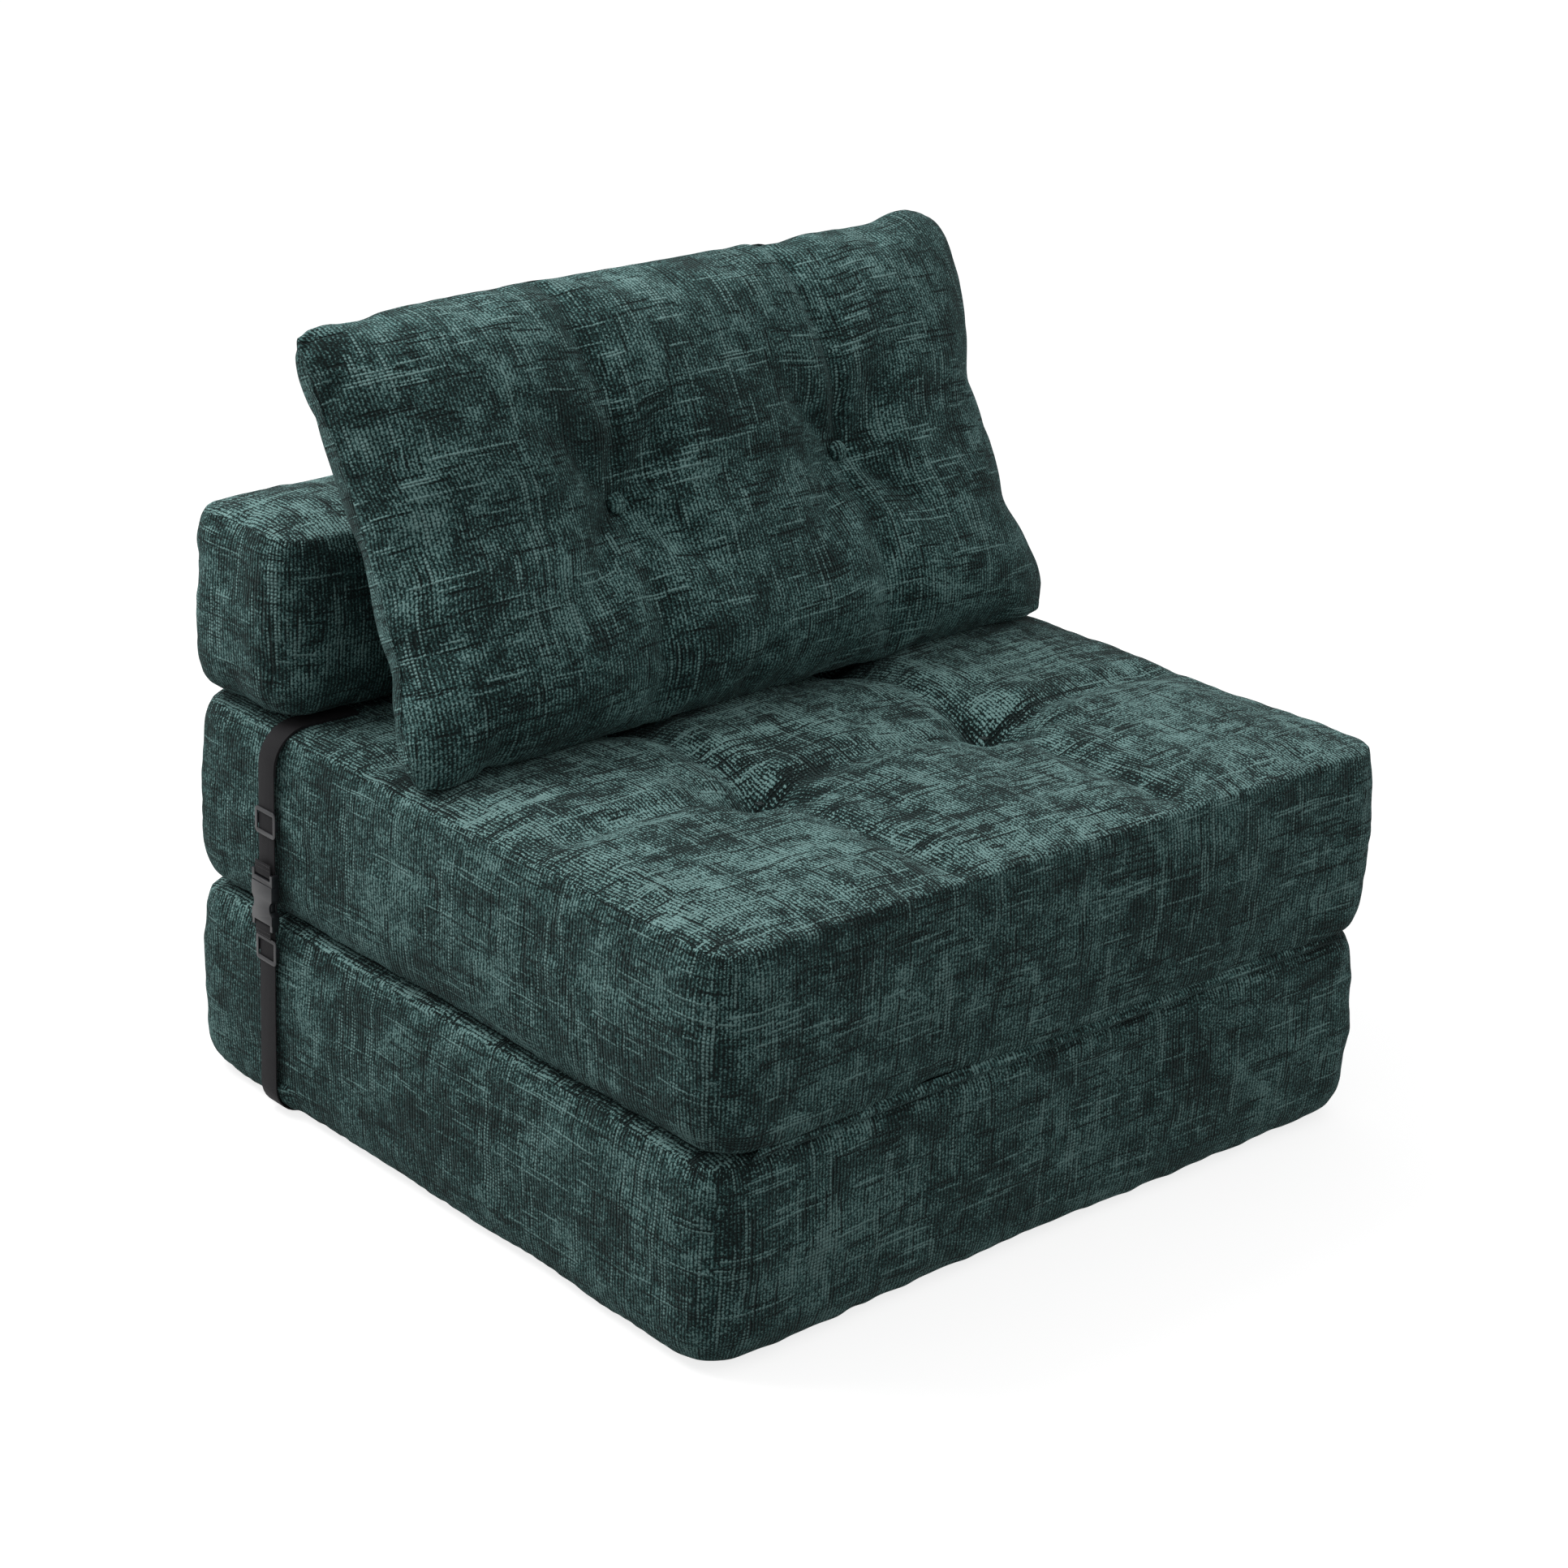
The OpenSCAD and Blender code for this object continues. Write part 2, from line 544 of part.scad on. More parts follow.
// The pillow's back touches the bolster: y of the bolster's front at the height z
function bolster_front(z) = bolster_y0 + side_swell * (z > bolster_z1 - edge_r ? 1 : 0)
  + edge_in(max(bolster_z1 - z, 0), edge_r);
pillow_y = min([
  for (a = [-0.9:0.1:0.9], b = [-0.6:0.04:0.4])
    let (p = loose_point(a, b, 1, 0))
    if (p[2] < bolster_z1) bolster_front(p[2]) - soft_gap - p[1]]);
function pillow_point(a, b, way, shrink) = loose_point(a, b, way, shrink) + [0, pillow_y, 0];
module pillow_form(ax, by, shrink) {
  nx = len(ax);
  ny = len(by);
  spots = rim(ax, by);
  n = len(spots);
  inner = (nx - 2) * (ny - 2);
  points = concat(
    [for (s = spots) pillow_point(s[0], s[1], 0, shrink)],
    [for (way = [-1, 1], j = [1:1:ny - 2], i = [1:1:nx - 2]) pillow_point(ax[i], by[j], way, shrink)]);
  // The back's inner points come after the front's
  function at(i, j, back) = let (g = grid_index(i, j, nx, ny, 0)) g < n ? g : g + back * inner;
  faces = [
    for (back = [0, 1], j = [0:1:ny - 2], i = [0:1:nx - 2], half = [0, 1])
      let (
        c = [for (g = [[0, 0], [0, 1], [1, 1], [1, 0]]) at(i + g[0], j + g[1], back)],
        t = half == 0 ? [c[0], c[1], c[2]] : [c[0], c[2], c[3]]
      )
      back == 1 ? [t[2], t[1], t[0]] : t];
  polyhedron(points, faces);
}
// Places of the grid's lines across the pillow, with some round each button, and up its slope
function button_lines(steps) = [for (s = [-1, 1], d = steps) (button_shift + s * button_x + d) / half_mid];
step_b = tuft_flat * 2 / pillow_h;
pillow_ax = sorted(concat(
  button_lines([-tuft_flat * 2.5, -tuft_flat, tuft_flat, tuft_flat * 2.5]),
  [-1, -0.98, -0.94, -0.84, -0.7, -0.54, button_shift / half_mid, 0.6, 0.74, 0.87, 0.95, 0.98, 1]));
pillow_by = [-1, -0.96, -0.86, -0.66, -0.4, -step_b, step_b, 0.4, 0.66, 0.86, 0.96, 1];
fill_ax = sorted(concat(
  button_lines([-tuft_flat * 1.5, tuft_flat * 1.5]), [-1, -0.96, -0.85, -0.66, 0.7, 0.86, 0.96, 1]));
fill_by = [-1, -0.94, -0.75, -0.45, -1.5 * step_b, 1.5 * step_b, 0.45, 0.75, 0.94, 1];
// Room for the cord of each pair of buttons
module cord_rooms() {
  at_buttons() translate([0, -pillow_front_swell, 0]) rotate([-90, 0, 0])
    cylinder(r = cord_r + 0.5, h = pillow_front_swell + pillow_back_swell);
}
// The pillow's zip lies on the low part of its back
pillow_zip_b = -0.62;
zip_v = pillow_h / 2 + pillow_zip_b * (pillow_h / 2 - pillow_draw / 3);
function back_swell_at(b) = pillow_swell(0, b, pillow_back_swell, button_waist);
zip_slope = atan((back_swell_at(pillow_zip_b + 0.02) - back_swell_at(pillow_zip_b - 0.02)) / (0.02 * pillow_h));
module on_pillow_zip() {
  sag = 0.6;
  on_pillow() translate([0, back_swell_at(pillow_zip_b) - sag, zip_v]) rotate([-zip_slope, 0, 0]) children();
}

// Covered button: a low rim below a dome
module button(dome) {
  rim_h = 2;
  top = [for (a = [0, 28, 52, 74, 90]) [button_r * sin(a), rim_h + (dome - rim_h) * cos(a)]];
  rotate_extrude() polygon(concat([[0, 0]], top, [[button_r - 0.8, 0]]));
}

module base_cover() {
  color(fabric_side) difference() {
    base_block(0);
    base_block(cover_t);
  }
}
module base_foam() { color(foam_colour) base_block(cover_t + foam_fit); }
module base_zip() { color(webbing_colour) translate([0, back_y, base_zip_z]) zip_chain(zip_l); }
module base_zip_slider() { color(plastic_colour) translate([0, back_y, base_zip_z]) zip_slider(zip_l); }
module front_hinge_strip() { hinge_strip(front_y, side_swell, 1, base_h, seat_z0); }
module left_lower_strap() { lower_strap(left); }
module right_lower_strap() { lower_strap(right); }
module left_lower_adjuster() { adjuster(left, lower_adjuster_z); }
module right_lower_adjuster() { adjuster(right, lower_adjuster_z); }
module left_buckle_socket() { buckle_socket(left); }
module right_buckle_socket() { buckle_socket(right); }
module seat_cover() {
  color(fabric_top) difference() {
    seat_form();
    seat_block(cover_t);
  }
}
module seat_foam() { color(foam_colour) seat_block(cover_t + foam_fit); }
module seat_tuft_stitches() {
  color(fabric_side) for (sx = [-1, 1], sy = [-1, 1]) {
    x = sx * seat_tuft_x;
    y = middle_y + sy * seat_tuft_y;
    translate([x, y, seat_top(x, y) + soft_gap]) cylinder(r = stitch_r, h = stitch_h);
  }
}
module seat_zip() { color(webbing_colour) translate([0, back_y, seat_zip_z]) zip_chain(zip_l); }
module seat_zip_slider() { color(plastic_colour) translate([0, back_y, seat_zip_z]) zip_slider(zip_l); }
module left_upper_strap() { upper_strap(left); }
module right_upper_strap() { upper_strap(right); }
module left_upper_adjuster() { adjuster(left, upper_adjuster_z); }
module right_upper_adjuster() { adjuster(right, upper_adjuster_z); }
module left_buckle_plug() { buckle_plug(left); }
module right_buckle_plug() { buckle_plug(right); }
module left_plug_front_arm() { plug_arm(left, -1); }
module left_plug_rear_arm() { plug_arm(left, 1); }
module right_plug_front_arm() { plug_arm(right, -1); }
module right_plug_rear_arm() { plug_arm(right, 1); }
module rear_hinge_strip() { hinge_strip(back_y, 0, -1, seat_z1, bolster_z0); }
module bolster_cover() {
  color(fabric_side) difference() {
    bolster_block(0);
    bolster_block(cover_t);
  }
}
module bolster_foam() { color(foam_colour) bolster_block(cover_t + foam_fit); }
module bolster_zip() { color(webbing_colour) translate([0, back_y, bolster_zip_z]) zip_chain(zip_l); }
module bolster_zip_slider() { color(plastic_colour) translate([0, back_y, bolster_zip_z]) zip_slider(zip_l); }
module pillow_cover() {
  color(fabric_top) difference() {
    pillow_form(pillow_ax, pillow_by, 0);
    pillow_form(fill_ax, fill_by, pillow_wall);
    cord_rooms();
  }
}
module pillow_filling() {
  color(foam_colour) difference() {
    pillow_form(fill_ax, fill_by, pillow_wall + 3);
    cord_rooms();
  }
}
module pillow_front_buttons() {
  color(fabric_side) at_buttons()
    translate([0, -button_waist / 2 - soft_gap, 0]) rotate([90, 0, 0]) button(button_h);
}
module pillow_back_buttons() {
  color(fabric_side) at_buttons()
    translate([0, button_waist / 2 + soft_gap, 0]) rotate([-90, 0, 0]) button(button_h);
}
module pillow_tuft_cords() {
  color(webbing_colour) at_buttons()
    translate([0, -button_waist / 2, 0]) rotate([-90, 0, 0]) cylinder(r = cord_r, h = button_waist);
}
module pillow_zip() { color(webbing_colour) on_pillow_zip() zip_chain(pillow_zip_l); }
module pillow_zip_slider() { color(plastic_colour) on_pillow_zip() zip_slider(pillow_zip_l); }

base_cover();
base_foam();
base_zip();
base_zip_slider();
front_hinge_strip();
left_lower_strap();
right_lower_strap();
left_lower_adjuster();
right_lower_adjuster();
left_buckle_socket();
right_buckle_socket();
seat_cover();
seat_foam();
seat_tuft_stitches();
seat_zip();
seat_zip_slider();
left_upper_strap();
right_upper_strap();
left_upper_adjuster();
right_upper_adjuster();
left_buckle_plug();
right_buckle_plug();
left_plug_front_arm();
left_plug_rear_arm();
right_plug_front_arm();
right_plug_rear_arm();
rear_hinge_strip();
bolster_cover();
bolster_foam();
bolster_zip();
bolster_zip_slider();
pillow_cover();
pillow_filling();
pillow_front_buttons();
pillow_back_buttons();
pillow_tuft_cords();
pillow_zip();
pillow_zip_slider();
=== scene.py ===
# %% [markdown]
# A folding sofa bed in chenille.
# Three foam blocks in zipped fabric covers lie on each other: a base, a seat and a bolster.
# A loose pillow with two covered buttons leans on the bolster. A webbing strap with a buckle on
# each side holds the fold shut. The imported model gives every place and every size. This script
# gives the pieces their cloth, folds, stitches and finish.

import math

import bmesh
import bpy
import numpy as np
from mathutils import Matrix, Vector


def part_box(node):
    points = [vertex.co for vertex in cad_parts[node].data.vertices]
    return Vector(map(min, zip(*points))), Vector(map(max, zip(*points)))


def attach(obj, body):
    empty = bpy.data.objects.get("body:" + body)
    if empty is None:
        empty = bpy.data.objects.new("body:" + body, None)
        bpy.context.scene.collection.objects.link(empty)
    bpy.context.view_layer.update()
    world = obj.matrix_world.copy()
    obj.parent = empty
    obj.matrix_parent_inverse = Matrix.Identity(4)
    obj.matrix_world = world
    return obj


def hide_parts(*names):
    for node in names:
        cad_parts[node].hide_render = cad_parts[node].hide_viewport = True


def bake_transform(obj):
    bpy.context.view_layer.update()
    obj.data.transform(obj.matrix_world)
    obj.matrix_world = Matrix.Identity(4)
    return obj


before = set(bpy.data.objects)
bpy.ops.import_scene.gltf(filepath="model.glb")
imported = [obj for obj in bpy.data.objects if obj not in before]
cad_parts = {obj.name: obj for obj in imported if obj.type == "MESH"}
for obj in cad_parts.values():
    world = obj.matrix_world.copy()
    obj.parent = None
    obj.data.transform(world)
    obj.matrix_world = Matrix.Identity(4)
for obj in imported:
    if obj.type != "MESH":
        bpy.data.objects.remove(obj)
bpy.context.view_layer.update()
MM = 0.001

# %% [markdown]
# The camera stands to the left of the front, a little above the sofa, as the photographer's did.
# Its place and turn come from fitting the corners of the blocks. A long lens keeps the lines
# nearly parallel. A camera looks along its own -Z, so its matrix is built from three axes.

# %% The camera
CAMERA_PLACE = Vector((-2.1381, -2.2980, 1.5660))
CAMERA_YAW = 0.7466
CAMERA_PITCH = 0.3725
CAMERA_ROLL = 0.0475
CAMERA_LENS = 80.44
CAMERA_SHIFT = (0.00352, -0.01025)


def add_camera():
    """Makes the camera from its place, yaw, pitch and roll."""
    lens = bpy.data.cameras.new("camera")
    lens.lens = CAMERA_LENS
    lens.sensor_width = 36
    lens.shift_x, lens.shift_y = CAMERA_SHIFT
    lens.clip_end = 100
    ahead = Vector((
        math.sin(CAMERA_YAW) * math.cos(CAMERA_PITCH),
        math.cos(CAMERA_YAW) * math.cos(CAMERA_PITCH),
        -math.sin(CAMERA_PITCH)))
    level = Vector((math.cos(CAMERA_YAW), -math.sin(CAMERA_YAW), 0))
    upright = level.cross(ahead)
    side = math.cos(CAMERA_ROLL) * level + math.sin(CAMERA_ROLL) * upright
    top = -math.sin(CAMERA_ROLL) * level + math.cos(CAMERA_ROLL) * upright
    camera = bpy.data.objects.new("camera", lens)
    turn = Matrix((side, top, -ahead)).transposed().to_4x4()
    camera.matrix_world = Matrix.Translation(CAMERA_PLACE) @ turn
    bpy.context.scene.collection.objects.link(camera)
    bpy.context.scene.camera = camera


add_camera()
print("camera at", [round(x, 3) for x in CAMERA_PLACE])

# %% [markdown]
# Node trees are easier to read as sums. The small class below wraps a node's output, so that
# a + b or 1 - mask adds a Math node. One method adds any other node from its type, its settings
# and the values or links of its sockets.

# %% Sums of shader sockets


class Sum:
    """An output socket that can take part in plain sums of numbers."""

    def __init__(self, maker, socket):
        self.maker = maker
        self.socket = socket

    def math(self, operation, *others):
        values = dict(enumerate((self,) + others))
        return self.maker.add("ShaderNodeMath", {"operation": operation}, values)

    def __add__(self, other):
        return self.math("ADD", other)

    def __radd__(self, other):
        return self.math("ADD", other)

    def __sub__(self, other):
        return self.math("SUBTRACT", other)

    def __rsub__(self, other):
        return self.maker.add("ShaderNodeMath", {"operation": "SUBTRACT"}, {0: other, 1: self})

    def __mul__(self, other):
        return self.math("MULTIPLY", other)

    def __rmul__(self, other):
        return self.math("MULTIPLY", other)

    def __truediv__(self, other):
        return self.math("DIVIDE", other)


class Maker:
    """Adds nodes to one tree."""

    def __init__(self, tree):
        self.tree = tree

    def add(self, kind, settings=None, values=None, out=0):
        """A node of this kind. Settings come first, then the values or links of its sockets."""
        node = self.tree.nodes.new(kind)
        for name, value in (settings or {}).items():
            if name == "stops":
                self.set_stops(node.color_ramp, value)
            else:
                setattr(node, name, value)
        for key, value in (values or {}).items():
            if isinstance(value, Sum):
                self.tree.links.new(value.socket, node.inputs[key])
            else:
                node.inputs[key].default_value = value
        return Sum(self, node.outputs[out]) if len(node.outputs) else node

    def set_stops(self, ramp, stops):
        while len(ramp.elements) < len(stops):
            ramp.elements.new(0.5)
        for element, (place, colour) in zip(ramp.elements, stops):
            element.position = place
            element.color = (*colour, 1)

    def vector(self, x, y, z):
        return self.add("ShaderNodeCombineXYZ", None, {0: x, 1: y, 2: z})

    def parts(self, vector):
        """The three numbers of a vector."""
        first = self.add("ShaderNodeSeparateXYZ", None, {0: vector})
        return [Sum(self, socket) for socket in first.socket.node.outputs]

    def noise(self, vector, scale=1.0, detail=1.0, roughness=0.5):
        values = {"Vector": vector, "Scale": scale, "Detail": detail, "Roughness": roughness}
        return self.add("ShaderNodeTexNoise", {"noise_dimensions": "3D"}, values)

    def speckle(self, vector):
        """A different number between 0 and 1 for each whole step of the vector."""
        return self.add("ShaderNodeTexWhiteNoise", {"noise_dimensions": "3D"}, {"Vector": vector})

    def smooth(self, value, low, high):
        """0 below low and 1 above high, with a soft step between them."""
        values = {"Value": value, "From Min": low, "From Max": high}
        return self.add("ShaderNodeMapRange", {"interpolation_type": "SMOOTHSTEP"}, values)

    def bump(self, height, strength, distance):
        values = {"Height": height, "Strength": strength, "Distance": distance}
        return self.add("ShaderNodeBump", None, values)


def new_material(name):
    """An empty material with a Principled shader, and the maker of its tree."""
    material = bpy.data.materials.new(name)
    material.use_nodes = True
    material.node_tree.nodes.clear()
    maker = Maker(material.node_tree)
    shader = maker.add("ShaderNodeBsdfPrincipled")
    maker.add("ShaderNodeOutputMaterial", None, {"Surface": shader})
    return material, maker, shader.socket.node


def connect(maker, shader, values):
    """Feeds the shader's sockets with links or constants."""
    for name, value in values.items():
        if isinstance(value, Sum):
            maker.tree.links.new(value.socket, shader.inputs[name])
        else:
            shader.inputs[name].default_value = value


# %% [markdown]
# The studio is plain: a pale floor, a dim sky that is brightest overhead, and one large lamp
# high up, to the left of the sofa and behind it. The tops get the most light, the left side
# less and the front the least. Camera rays see a white background, and other rays a darker
# floor, so that little light comes up from below. The floor keeps a faint soft shadow.

# %% The floor and the light
SKY_OVERHEAD = 0.62
SKY_LEVEL = 0.16
LAMP_POWER = 37
LAMP_SIZE = 1.3
LAMP_PLACE = Vector((-1.30, 1.15, 2.45))
LAMP_AIM = Vector((0, 0, 0.3))
FLOOR_SIZE = 30
FLOOR_PALE = 0.42
FLOOR_DIM = 0.16
FLOOR_GLOW = 0.80


def light_path(maker):
    """1 for rays from the camera, or through or off something shiny."""
    path = maker.add("ShaderNodeLightPath")
    outputs = path.socket.node.outputs
    seen = Sum(maker, outputs["Is Camera Ray"])
    for name in ("Is Glossy Ray", "Is Transmission Ray"):
        seen = seen.math("MAXIMUM", Sum(maker, outputs[name]))
    return seen


def add_sky():
    world = bpy.data.worlds.new("studio")
    world.use_nodes = True
    world.node_tree.nodes.clear()
    maker = Maker(world.node_tree)
    place = maker.add("ShaderNodeTexCoord")
    height = maker.parts(place)[2].math("MAXIMUM", 0.0)
    seen = light_path(maker)
    level = (SKY_LEVEL + height * SKY_OVERHEAD) * (1 - seen) + seen
    sky = maker.add("ShaderNodeBackground", None, {"Color": (1, 1, 1, 1), "Strength": level})
    maker.add("ShaderNodeOutputWorld", None, {"Surface": sky})
    bpy.context.scene.world = world


def add_lamp():
    light = bpy.data.lights.new("soft lamp", "AREA")
    light.shape = "DISK"
    light.size = LAMP_SIZE
    light.energy = LAMP_POWER
    lamp = bpy.data.objects.new("soft_lamp", light)
    lamp.location = LAMP_PLACE
    lamp.rotation_euler = (LAMP_PLACE - LAMP_AIM).to_track_quat("Z", "Y").to_euler()
    bpy.context.scene.collection.objects.link(lamp)


def add_floor():
    half = FLOOR_SIZE / 2
    corners = [(-half, -half, 0), (half, -half, 0), (half, half, 0), (-half, half, 0)]
    mesh = bpy.data.meshes.new("floor")
    mesh.from_pydata(corners, [], [(0, 1, 2, 3)])
    floor = bpy.data.objects.new("floor", mesh)
    bpy.context.scene.collection.objects.link(floor)
    material = bpy.data.materials.new("pale floor")
    material.use_nodes = True
    material.node_tree.nodes.clear()
    maker = Maker(material.node_tree)
    seen = light_path(maker)
    pale = maker.add("ShaderNodeBsdfDiffuse", None, {"Color": (FLOOR_PALE,) * 3 + (1,)})
    dim = maker.add("ShaderNodeBsdfDiffuse", None, {"Color": (FLOOR_DIM,) * 3 + (1,)})
    glow_values = {"Color": (1, 1, 1, 1), "Strength": FLOOR_GLOW}
    glow = maker.add("ShaderNodeEmission", None, glow_values)
    lit = maker.add("ShaderNodeAddShader", None, {0: pale, 1: glow})
    both = maker.add("ShaderNodeMixShader", None, {0: seen, 1: dim, 2: lit})
    maker.add("ShaderNodeOutputMaterial", None, {"Surface": both})
    mesh.materials.append(material)


add_sky()
add_lamp()
add_floor()
bpy.context.scene.view_settings.view_transform = "Standard"
print("studio: sky, lamp and floor")

# %% [markdown]
# Chenille is woven from yarns with a short pile. Fine ribs run up the cloth. Thick slubs show
# as light or dark streaks along both directions, broken into beads where they cross the ribs,
# and they come in groups, which gives a loose plaid. The pile lies this way and that, so large
# soft patches are darker or lighter. The pattern reads an attribute named weave: metres across
# the cloth, metres along it and the number of the panel. It is wrapped round each piece when the
# piece is made, so it neither stretches over an edge nor slides when a joint moves. A second
# attribute says where people sit: there the pile is rubbed in all directions, and the light
# and dark patches differ most. A third one makes the cloth a little paler where it is drawn
# tight over a button. Below 0 it is painted shade: in the seat's tufts and creases the colour
# is darkened for the shade that falls in them, and for the pile that is pressed together there.

# %% The chenille
RIB = 3.9 * MM
PICK = 3.0 * MM
BEAD = 3.4 * MM
DARK = (0.0028, 0.0080, 0.0076)
SHADE = (0.0120, 0.0300, 0.0285)
MIDDLE = (0.033, 0.082, 0.079)
LIGHT = (0.086, 0.190, 0.184)
BRIGHT = (0.24, 0.40, 0.385)
GROUP_W = 0.028
GROUP_L = 0.14


def slubs(maker, across, along, panel, width, length, seed, cover):
    """Streaks along one direction, 0 to 1. Noise is constant across each lane of yarn."""
    lane = (across / width).math("FLOOR")
    round_yarn = (across * (math.pi / width)).math("SINE").math("ABSOLUTE")
    place = maker.vector(lane * 7.31 + seed, along / length, panel * 3.7)
    group_place = maker.vector(across / GROUP_W + seed, along / GROUP_L, panel)
    group = maker.noise(group_place, detail=1.0)
    level = maker.noise(place, detail=1.0) + (group - 0.5) * 0.55
    return maker.smooth(level, 1 - cover, 1.1 - cover) * round_yarn


def chenille_tone(maker, weave, worn, pale):
    """How light the cloth is, about 0 to 1, and how high its pile stands."""
    raw_u, raw_v, panel = maker.parts(weave)
    wander = maker.noise(weave, scale=9.0, detail=1.0)
    sway = maker.noise(weave, scale=13.0, detail=1.0)
    u = raw_u + (wander - 0.5) * 0.004
    v = raw_v + (sway - 0.5) * 0.005
    rib = (u * (math.pi / RIB)).math("SINE").math("ABSOLUTE")
    beads = (v * (2 * math.pi / BEAD)).math("SINE") * 0.5 + 0.5
    dashes = (u * (2 * math.pi / RIB)).math("SINE") * 0.5 + 0.5
    light_up = slubs(maker, u, v, panel, RIB, 0.066, 3.0, 0.385) * (beads * 0.85 + 0.15)
    light_on = slubs(maker, v, u, panel, PICK, 0.080, 57.0, 0.372) * (dashes * 0.55 + 0.45)
    low_up = slubs(maker, u + 0.45 * RIB, v, panel, RIB, 0.046, 131.0, 0.375)
    low_up = low_up * (beads * 0.7 + 0.3)
    low_on = slubs(maker, v + 0.45 * PICK, u, panel, PICK, 0.060, 211.0, 0.40)
    low_on = low_on * (dashes * 0.7 + 0.3)
    cell_u, cell_v = (u / (RIB / 2)).math("FLOOR"), (v / (PICK / 2)).math("FLOOR")
    grain = maker.speckle(maker.vector(cell_u, cell_v, panel))
    fleck = maker.noise(weave, scale=520.0, detail=2.0)
    patch = maker.noise(weave, scale=9.0, detail=3.0, roughness=0.6)
    cloud = maker.noise(weave, scale=34.0, detail=3.0, roughness=0.62)
    shade = (patch - 0.5) * 1.25 + (cloud - 0.5) * 1.60 + (fleck - 0.5) * 2.4
    shade = shade + (grain - 0.5) * 0.60 + (rib - 0.64) * 0.62
    shade = shade + light_up * 1.32 + light_on * 1.06
    shade = shade - (low_up * 0.86 + low_on * 0.94) * (worn * 0.9 + 1)
    # pale lightens the buttons; below 0 it is painted shade in the seat's pits and creases.
    tone = shade * (worn * 0.95 + 1) - worn * 0.08 + pale * 0.16 + 0.41
    height = rib * 0.5 + grain * 0.4 + light_up * 1.1 + light_on * 0.9
    height = height - (low_up + low_on) * 0.8 + (cloud - 0.5) * 0.8
    return tone, height


def make_chenille():
    material, maker, shader = new_material("chenille")
    weave = maker.add("ShaderNodeAttribute", {"attribute_name": "weave"}, out="Vector")
    worn = maker.add("ShaderNodeAttribute", {"attribute_name": "sat_on"}, out="Fac")
    # This attribute holds painted shade in the seat's tufts and creases, and the buttons' paler
    # cloth.
    pale = maker.add("ShaderNodeAttribute", {"attribute_name": "stretched"}, out="Fac")
    tone, height = chenille_tone(maker, weave, worn, pale)
    stops = [(0.0, DARK), (0.25, SHADE), (0.5, MIDDLE), (0.75, LIGHT), (1.0, BRIGHT)]
    colour = maker.add("ShaderNodeValToRGB", {"stops": stops}, {0: tone})
    connect(maker, shader, {
        "Base Color": colour,
        "Roughness": 0.92,
        "Specular IOR Level": 0.2,
        "Sheen Weight": 0.13,
        "Sheen Roughness": 0.45,
        "Sheen Tint": (0.55, 0.85, 0.83, 1),
        "Normal": maker.bump(height, 0.85, 2.0 * MM),
    })
    return material


chenille = make_chenille()
print("chenille nodes:", len(chenille.node_tree.nodes))

# %% [markdown]
# The hard finishes are simple. Moulded plastic has a faint grain and wears lighter where it is
# rubbed. Webbing is a flat weave whose picks make small slanted steps. Foam is full of small
# cells. The zips' enamel is smooth and dark.

# %% Plastic, webbing, foam and the rest


def object_place(maker):
    place = maker.add("ShaderNodeTexCoord")
    return Sum(maker, place.socket.node.outputs["Object"])


def make_plastic():
    material, maker, shader = new_material("moulded plastic")
    place = object_place(maker)
    grain = maker.noise(place, scale=2600.0, detail=2.0)
    rubbed = maker.noise(place, scale=130.0, detail=3.0)
    stops = [(0.3, (0.012, 0.0125, 0.015)), (0.7, (0.024, 0.025, 0.030))]
    colour = maker.add("ShaderNodeValToRGB", {"stops": stops}, {0: rubbed})
    connect(maker, shader, {
        "Base Color": colour,
        "Roughness": 0.27 + rubbed * 0.18,
        "Normal": maker.bump(grain, 0.25, 0.15 * MM),
    })
    return material


def make_webbing():
    """The weave lies across Y. Along the strap it follows the sum of the other two directions."""
    material, maker, shader = new_material("black webbing")
    x, y, z = maker.parts(object_place(maker))
    along = z + x.math("ABSOLUTE")
    warp = (y * (2 * math.pi / (1.6 * MM))).math("SINE")
    shifted = along * (2 * math.pi / (1.9 * MM)) + (y / (0.8 * MM)).math("FLOOR") * math.pi
    pick = shifted.math("SINE")
    lint = maker.noise(maker.vector(x, y, z), scale=160.0, detail=4.0, roughness=0.7)
    height = pick * 0.5 + warp * 0.35
    tone = 0.35 + height * 0.2 + (lint - 0.5) * 0.9
    stops = [(0.0, (0.0035, 0.0034, 0.0042)), (1.0, (0.018, 0.017, 0.020))]
    colour = maker.add("ShaderNodeValToRGB", {"stops": stops}, {0: tone})
    connect(maker, shader, {
        "Base Color": colour,
        "Roughness": 0.72 + lint * 0.15,
        "Specular IOR Level": 0.3,
        "Normal": maker.bump(height, 0.5, 0.3 * MM),
    })
    return material


def make_plain(name, low, high, scale, rough, bump, metallic=0.0):
    """A finish with two colours in a fine noise, which also gives its relief."""
    material, maker, shader = new_material(name)
    grain = maker.noise(object_place(maker), scale=scale, detail=3.0, roughness=0.6)
    colour = maker.add("ShaderNodeValToRGB", {"stops": [(0.3, low), (0.7, high)]}, {0: grain})
    connect(maker, shader, {
        "Base Color": colour,
        "Roughness": rough,
        "Metallic": metallic,
        "Normal": maker.bump(grain, bump, 0.4 * MM),
    })
    return material


